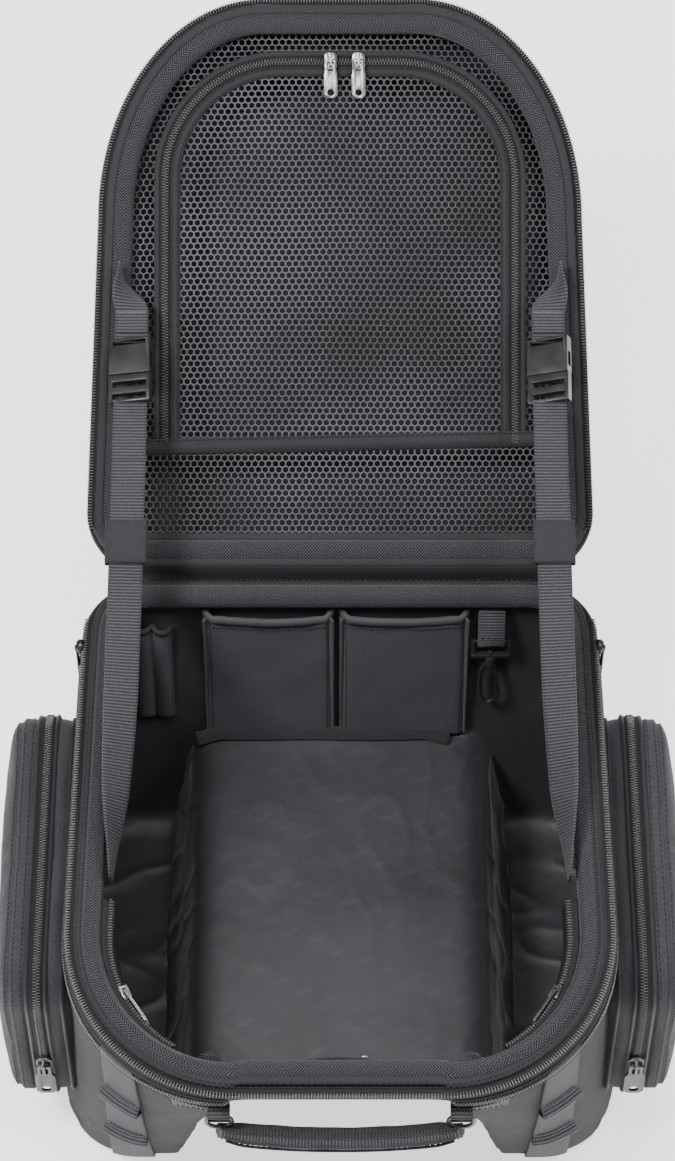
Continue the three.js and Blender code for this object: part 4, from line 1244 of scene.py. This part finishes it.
def pocket_trim(side, sign, cover):
    world = mirrored(sign)
    ring = pocket_outline(-0.4, 300)
    out = np.column_stack([np.zeros(300), *(np.roll(ring, -1, 0) - np.roll(ring, 1, 0)).T[::-1]])
    out[:, 2] *= -1
    out /= np.linalg.norm(out, axis=1)[:, None]
    zipped = (ring[:, 1] > 12) | ((ring[:, 0] < -60) & (ring[:, 1] > 8))
    path, ups = at_x(ring, 215.4)[zipped], out[zipped]
    zip_teeth(f"side_pocket_teeth_{side}", path, ups, "bag", world=world, width=5.8, height=2.2, lift=0.4,
              replaces=(f"pocket_zip_chain_{side}",))
    tape = slab(6.2, -0.8, 0.3)
    sweep(f"side_pocket_tape_{side}", path, tape, DARK_TAPE, "bag", "zip_coil", world=world, up=ups)
    cords = [(at_x(pocket_outline(-0.6, 220), 209.2), 1.4), (at_x(pocket_outline(1.4, 220), 197.6), 1.5)]
    piping(f"side_pocket_piping_{side}", cords, "bag", (1, 0, 0), world)
    cords = [(at_x(pocket_outline(0.2, 220), 222.6), 1.7)]
    piping(f"side_pocket_cover_piping_{side}", cords, f"pocket_door_{side}", (1, 0, 0), world)
    lines = []
    for x, inset in ((COVER_SEAM_X - 3.2, 0.3), (COVER_SEAM_X + 3.0, 2.2), (226.8, 0.3)):
        loop = at_x(pocket_outline(inset, 240), x) * np.array([sign, 1, 1])
        lines.append((*snapped(cover, loop, normals=True), dict(pitch=4.4, closed=True, lift=0.15)))
    sew(f"side_pocket_stitching_{side}", f"pocket_door_{side}", "ballistic_nylon", lines)


# ---------------------------------------------------------------- pockets sewn inside
def organizer_depth(s, t):
    """How far the pocket front stands off the wall; t is 0 at the foot and 1 at the mouth."""
    side = min(s, 1 - s)
    return 2.5 + (3.0 + 6.5 * t ** 1.3) * min(side / 0.07, 1.0) ** 0.6 + 1.2 * math.sin(math.pi * s) * t


def organizers():
    out = (0, -1, 0)
    for side, x0, x1 in (("left", -103.0, -5.0), ("right", 0.0, 97.0)):
        width, z0, z1 = x1 - x0, 12.0, 149.0

        def front(s, t):
            x, z = x0 + width * s, z0 + (z1 - z0) * t - 2.2 * math.sin(math.pi * s) * t ** 3
            fold = 0.7 * wave(x, z, 0, 32, x0) + 0.4 * wave(x, z * 0.4, 0, 12, 3)
            return (x, back_wall_y(z) - 1.0 - organizer_depth(s, t) - fold, z)

        size = (width, z1 - z0)
        lining_patch(f"organizer_front_{side}", front, 56, 44, size, 1.2, f"organizer_pocket_{side}")
        for edge, s_edge, toward in (("a", 0.0, 1), ("b", 1.0, -1)):

            def pleat(s, t):
                z = z0 + (z1 - z0) * t
                x = x0 + width * s_edge + toward * (4.5 * math.sin(math.pi * s) * (0.3 + 0.7 * t))
                deep = organizer_depth(0.5, t) * (1 - s)
                return (x, back_wall_y(z) - 0.8 - deep, z - 3.0 * (1 - s) * t ** 3)

            lining_patch(f"organizer_pleat_{side}_{edge}", pleat, 40, 9, (16, z1 - z0), 1.0)
        hem = [(x, y, z - 4.0) for x, y, z in [front(s, 1.0) for s in np.linspace(0.0, 1.0, 30)]]
        section = [(-1.6, -4.6), (1.6, -4.6), (1.8, 4.0), (0, 5.0), (-1.8, 4.0)]
        sweep(f"organizer_hem_{side}", hem, section, POCKET_CLOTH, "bag", "lining_fabric", up=UP)
        small = dict(pitch=3.6, long=2.4)
        lines = []
        for s in (0.05, 0.95):
            lines.append(([front(s, t) for t in np.linspace(0.02, 0.94, 40)], out, dict(lift=0.9, **small)))
        lines.append(([front(s, 0.94) for s in np.linspace(0.06, 0.94, 30)], out, dict(lift=1.9, **small)))
        sew(f"organizer_stitching_{side}", "bag", "lining_fabric", lines)


def lining_patch(name, fn, rows, cols, size, thick, *replaced):
    patch(name, fn, rows, cols, size, POCKET_CLOTH, "bag", "lining_fabric", thick=thick, replaces=replaced)


def pen_sleeves():
    """Two narrow sleeves for pens, round the corner beside the organizers."""
    x0, x1, z0, z1 = -156.0, -128.0, 31.0, 133.0

    def wall(x, z):
        plan = body_plan(z)
        r = plan["back_r"] - 5.6
        centre_x = plan["back_r"] - plan["half_back"]
        along = max(centre_x - x, 0.0)
        return plan["back"] - plan["back_r"] + math.sqrt(max(r * r - along ** 2, 0))

    def front(s, t):
        x, z = x0 + (x1 - x0) * s, z0 + (z1 - z0) * t
        deep = (2.5 + 6.0 * abs(math.sin(2 * math.pi * s)) ** 0.7) * (0.5 + 0.5 * t)
        return (x, wall(x, z) - 1.5 - deep - 0.5 * wave(x, z, 0, 20), z - 5 * s * t ** 4)

    lining_patch("pen_sleeve_front", front, 50, 30, (x1 - x0, z1 - z0), 1.1, "pen_pocket")
    rim = [front(s, 0.985) for s in np.linspace(0, 1, 30)]
    section = [(-1.3, -4), (1.3, -4), (1.4, 1.6), (-1.4, 1.6)]
    sweep("pen_sleeve_hem", rim, section, TAPE_CLOTH, "bag", "lining_fabric", up=UP)
    lines = []
    for s in (0.02, 0.5, 0.98):
        line = [front(s, t) for t in np.linspace(0.02, 0.95, 30)]
        lines.append((line, (0, -1, 0), dict(pitch=3.6, long=2.4, lift=0.9)))
    sew("pen_sleeve_stitching", "bag", "lining_fabric", lines)


def front_pocket():
    """A wide pocket on the front wall, its mouth bound in tape and closed by a stud."""
    half, z0, z1 = 71.0, 41.0, 150.0

    def wall(s, t):
        x, z = -half + 2 * half * s, z0 + (z1 - z0) * t
        bow = max(1 - (2 * s - 1) ** 2, 0) ** 0.8
        y = front_wall_y(z) + 2.5 + bow * (5 + 16.5 * t ** 1.4) + 0.7 * wave(x, z, 0, 26)
        return (x, y, z - 3 * bow * t ** 3)

    lining_patch("front_pocket_panel", wall, 46, 50, (2 * half, z1 - z0), 1.3, "front_inner_pocket")
    mouth = [wall(s, 1.0) for s in np.linspace(0, 1, 50)]
    section = oval(3.4, 9.0, 12, power=2.6)
    sweep("front_pocket_hem", mouth, section, TWILL_DARK, "bag", "lining_fabric", up=(0, -0.5, 0.87))
    x, y, z = wall(0.62, 0.955)
    dome = [(x, y + d, z) for d in (0.6, 1.6, 2.4)]
    shrink = np.array([1.0, 0.9, 0.55])
    sweep("front_pocket_stud", dome, oval(9, 9, 20), STEEL, "bag", "plated_steel", up=UP, scale=shrink)


def floor_strip():
    """Herringbone binding where the back wall meets the floor."""
    path = []
    for x in np.linspace(-111, 85, 60):
        drop = 3.2 * smoothstep(abs(x + 13), 78, 98)
        path.append((x, 155.5 - 0.8 * wave(x, 0, 0, 40) - drop, 15.5 + 0.6 * wave(x, 3, 0, 30) - drop))
    section = oval(11.0, 3.2, 14, power=2.4)
    sweep("floor_binding", path, section, TWILL_DARK, "bag", "binding_tape", up=(0, -0.75, 0.66))


def corner_loops():
    """Small folded loops of tape at the front corners of the floor."""
    arch = ((-8, 0.6), (-4, 4.5), (0, 6.6), (4, 4.5), (8, 0.6))
    for side, sign in SIDES:
        path = resample([(sign * (97.0 + d), -126.0 - 0.5 * d, 9.0 + height) for d, height in arch], 18)
        sweep(f"floor_loop_{side}", path, slab(7, -0.8, 0.8), TWILL, "bag", "binding_tape", up=UP)


def inner_zips():
    """Two zips under the inner edge of the band, facing the middle of the bag and a little upwards."""
    rim = plan_outline(RIM, 30.5, 0.0, 720)
    for side, sign in SIDES:
        pick = rim[(rim[:, 0] * sign > 0) & (rim[:, 1] > -188) & (rim[:, 1] < -74)]
        path = to_3d(resample(pick[np.argsort(pick[:, 1])], 80), 161.0)
        across = frames(path, False)[1]
        inward = np.where(across[:, :1] * sign > 0, -across, across) + np.array([0, 0, 0.9])
        inward /= np.linalg.norm(inward, axis=1)[:, None]
        zip_teeth(f"inner_zip_teeth_{side}", path, inward, "bag", width=5.6, height=2.2, lift=1.0,
                  replaces=(f"inner_zip_chain_{side}",))
        tape = slab(7.5, -0.8, 0.4)
        sweep(f"inner_zip_tape_{side}", path, tape, DARK_TAPE, "bag", "zip_coil", up=inward)


def key_tab():
    """A doubled strip of webbing from the back wall, with the key clip's eye in its fold."""
    lo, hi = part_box("key_clip_tab")
    x = (lo.x + hi.x) / 2 / MM
    z_eye = lo.z / MM + 3.2
    y = lo.y / MM + 3.4
    loop = ((y + 9.0, 150), (y + 3.0, 140), (y - 1.8, z_eye + 7), (y - 3.0, z_eye), (y - 0.4, z_eye - 2.8),
            (y + 2.2, z_eye), (y + 2.4, z_eye + 8), (y + 7.2, 139), (y + 11.4, 150))
    path = resample([(x, a, b) for a, b in loop], 40)
    sweep("key_tab_webbing", path, slab(10, -0.8, 0.8), WEBBING, "bag", "webbing", up=(0, -1, 0.1),
          replaces=("key_clip_tab",))
    line = [(x + d, y - 1.0, z_eye + 9.5) for d in np.linspace(-8.5, 8.5, 8)]
    sew("key_tab_stitching", "bag", "webbing", [(line, (0, -1, 0.2), dict(pitch=3.0, long=2.2, lift=1.4))])


# ---------------------------------------------------------------- handle and lobe straps
GRIP_TILT = math.radians(-38)
LOOP_RISE = 7.0
LOOP_HEIGHTS = (74.0, -2.0)


def tilted(profile):
    c, s = math.cos(GRIP_TILT), math.sin(GRIP_TILT)
    return [(a * c - b * s, a * s + b * c) for a, b in profile]


def handle(shell):
    lo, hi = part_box("handle_grip")
    y = (lo.y + hi.y) / 2 / MM
    top, low, reach = hi.z / MM - 11.0, lo.z / MM + 13.5, hi.x / MM - 10.5
    xs = np.linspace(-reach, reach, 90)
    path = [(x, y, low + (top - low) * (abs(x) / reach) ** 2.2) for x in xs]
    scale = np.array([1 - 0.28 * smoothstep(abs(x), reach - 20, reach) for x in xs])
    section = tilted(oval(13.0, 30.0, 26, power=3.0))
    grip = sweep("handle_grip_pad", path, section, WEBBING, None, up=UP, scale=scale)
    subdivide(grip)
    move_verts(grip, lambda p, n: n * (0.6 * wave(*p, 18, 3)))
    settle(grip, "handle", "webbing", "handle_grip")

    def along_grip(place, end):
        """A line along the grip, at a place on its section, that stops short of its ends."""
        a, b = tilted([place])[0]
        return [(x, y - a * s, z + b * s) for (x, _, z), s in zip(path[end:-end], scale[end:-end])]

    edge = Heap()
    for place in ((3.2, 14.2), (-3.2, 14.2), (3.0, -14.2), (-3.0, -14.2), (6.8, 9.4), (6.8, -9.4)):
        tube(edge, along_grip(place, 3), 1.05, 6)
    edge.make("handle_grip_edging", PIPING, "handle", "webbing")
    lines = []
    for off in (6.6, -6.6, 1.2):
        on, ups = snapped(grip, along_grip((5.6, off), 6), normals=True)
        lines.append((on, ups, dict(pitch=3.8, long=2.6, lift=0.15)))
    sew("handle_grip_stitching", "handle", "webbing", lines)
    for side, sign in SIDES:
        ring_lo, ring_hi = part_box(f"handle_ring_{side}")
        handle_end(shell, side, sign, (ring_lo.x + ring_hi.x) / 2 / MM, y, ring_hi.z / MM - 1.8)


def handle_end(shell, side, sign, cx, y, z):
    """The webbing loop through a ring of the handle, and the patch that holds it to the bag."""
    loop = ((y + 11, z + 3), (y + 5, z + 6.2), (y - 1, z + 5.2), (y - 4.4, z + 0.5), (y - 1, z - 4.0),
            (y + 4, z - 3.0), (y + 10, z - 3.6))
    path = resample([(cx, a, b) for a, b in loop], 30)
    sweep(f"handle_loop_{side}", path, slab(7.6, -0.9, 0.9), WEBBING, "bag", "webbing", up=(0, 0.2, 1),
          replaces=(f"handle_tab_{side}",))

    def sewn(s, t):
        return snapped(shell, (cx + sign * (-9 + 42 * s), -215, z - 16 + 24 * t + 7 * s), 1.2)[0]

    patch(f"handle_patch_{side}", sewn, 12, 18, (42, 24), WEBBING, "bag", "webbing", thick=1.8)
    lines = []
    for t in (0.12, 0.88):
        row = snapped(shell, [sewn(s, t) for s in np.linspace(0.05, 0.95, 16)], 2.1, normals=True)
        lines.append((*row, dict(pitch=3.2, long=2.3, lift=0.1)))
    sew(f"handle_patch_stitching_{side}", "bag", "webbing", lines)


def outline_front_y(x, z):
    """The outside of the front wall at x, on the front half of the bag."""
    outline = body_outline(z, 0.0, 720)
    front = outline[(outline[:, 1] < -40) & (outline[:, 0] >= 0)]
    order = np.argsort(front[:, 0])
    return float(np.interp(x, front[order, 0], front[order, 1]))


def lobe_straps(shell):
    """Webbing down the front of each lobe, folded into two bar-tacked loops under the rim."""
    levels = np.concatenate([np.linspace(-96, -60, 16), np.linspace(-57, 152, 110)])
    for side, sign in SIDES:
        rows = []
        for z in levels:
            across = np.array([16.0, outline_front_y(163, z) - outline_front_y(147, z), 0])
            across /= np.linalg.norm(across)
            bulge = sum(LOOP_RISE * math.exp(-((z - peak) / 6.0) ** 2) for peak in LOOP_HEIGHTS)
            middle = np.array([155.0, outline_front_y(155, z), z])
            line = [(middle + across * v) * np.array([sign, 1, 1]) for v in np.linspace(-16, 16, 13)]
            row = snapped(shell, line, 1.6 + bulge)
            row[:, 2] = np.maximum(row[:, 2], FOOT_Z + 1.5)
            rows.append(row)

        def face(s, t):
            return rows[int(round(t * (len(levels) - 1)))][int(round(s * 12))]

        patch(f"lobe_webbing_{side}", face, len(levels), 13, (32, 260), WEBBING_UP, "bag", "webbing", 2.0,
              replaces=(f"lobe_strap_{side}",))
        lines = []
        for peak in LOOP_HEIGHTS:
            for dz in (-10.0, -8.0, 10.0):
                row = rows[int(np.argmin(np.abs(levels - peak - dz)))][1:-1]
                tack = dict(pitch=2.6, long=2.1, wide=1.0, lift=0.2)
                lines.append((*snapped(shell, row, 3.4, normals=True), tack))
        sew(f"lobe_bartacks_{side}", "bag", "webbing", lines)


# ---------------------------------------------------------------- camera, floor and light
CAMERA = (-0.00187, -1.3102, 2.4004)
LOOK = (0, 0.5592, -0.8290)
CAMERA_UP = (0, 0.829, 0.5592)


def place_camera():
    cam = bpy.data.cameras.new("camera")
    cam.lens, cam.sensor_width, cam.sensor_fit = 111.63, 36.0, "AUTO"
    cam.clip_end = 50
    obj = bpy.data.objects.new("camera", cam)
    right = Vector(LOOK).cross(Vector(CAMERA_UP))
    turned = Matrix((right, CAMERA_UP, -Vector(LOOK))).transposed().to_4x4()
    obj.matrix_world = Matrix.Translation(CAMERA) @ turned
    bpy.context.scene.collection.objects.link(obj)
    bpy.context.scene.camera = obj


def soft_light(name, place, target, size, power):
    light = bpy.data.lights.new(name, "AREA")
    light.shape, light.size, light.energy = "DISK", size, power
    obj = bpy.data.objects.new(name, light)
    obj.location = place
    obj.rotation_mode = "QUATERNION"
    obj.rotation_quaternion = (Vector(target) - Vector(place)).to_track_quat("-Z", "Y")
    bpy.context.scene.collection.objects.link(obj)


def studio():
    mat, n = new_material("studio_floor", 0.9, specular=0.1)
    n.colour(n.noise(4.0), 0.3, 0.7, 0.9, 0.94, (1, 1, 1))
    n.shader.inputs["Emission Color"].default_value = (1, 1, 1, 1)
    n.shader.inputs["Emission Strength"].default_value = 1.3
    bpy.ops.mesh.primitive_plane_add(size=12, location=(0, 0, FOOT_Z * MM - 0.0005))
    floor = bpy.context.object
    floor.name = "studio_floor"
    floor.data.materials.append(mat)
    world = bpy.data.worlds.new("studio")
    bpy.context.scene.world = world
    world.use_nodes = True
    background = world.node_tree.nodes["Background"].inputs
    background[0].default_value = (1, 1, 1, 1)
    background[1].default_value = 0.35
    middle = (0, 0.15, 0.15)
    soft_light("key", (-1.0, -0.5, 2.2), middle, 0.6, 62)
    soft_light("top", (0.15, -0.35, 2.3), (0, -0.05, 0.0), 0.7, 22)
    soft_light("fill", (1.4, -0.2, 1.7), middle, 0.9, 20)
    soft_light("back", (0.2, 2.2, 1.6), middle, 1.0, 22)


# ---------------------------------------------------------------- the whole bag
bag_shell = body_shell()
body_lining()
rim_trim()
side_pockets()
organizers()
pen_sleeves()
front_pocket()
floor_strip()
corner_loops()
inner_zips()
key_tab()
handle(bag_shell)
lobe_straps(bag_shell)
lid_shell()
lid_trim()
nets()
net_trim()
hinge_tape()
stays()
hardware()
place_camera()
studio()
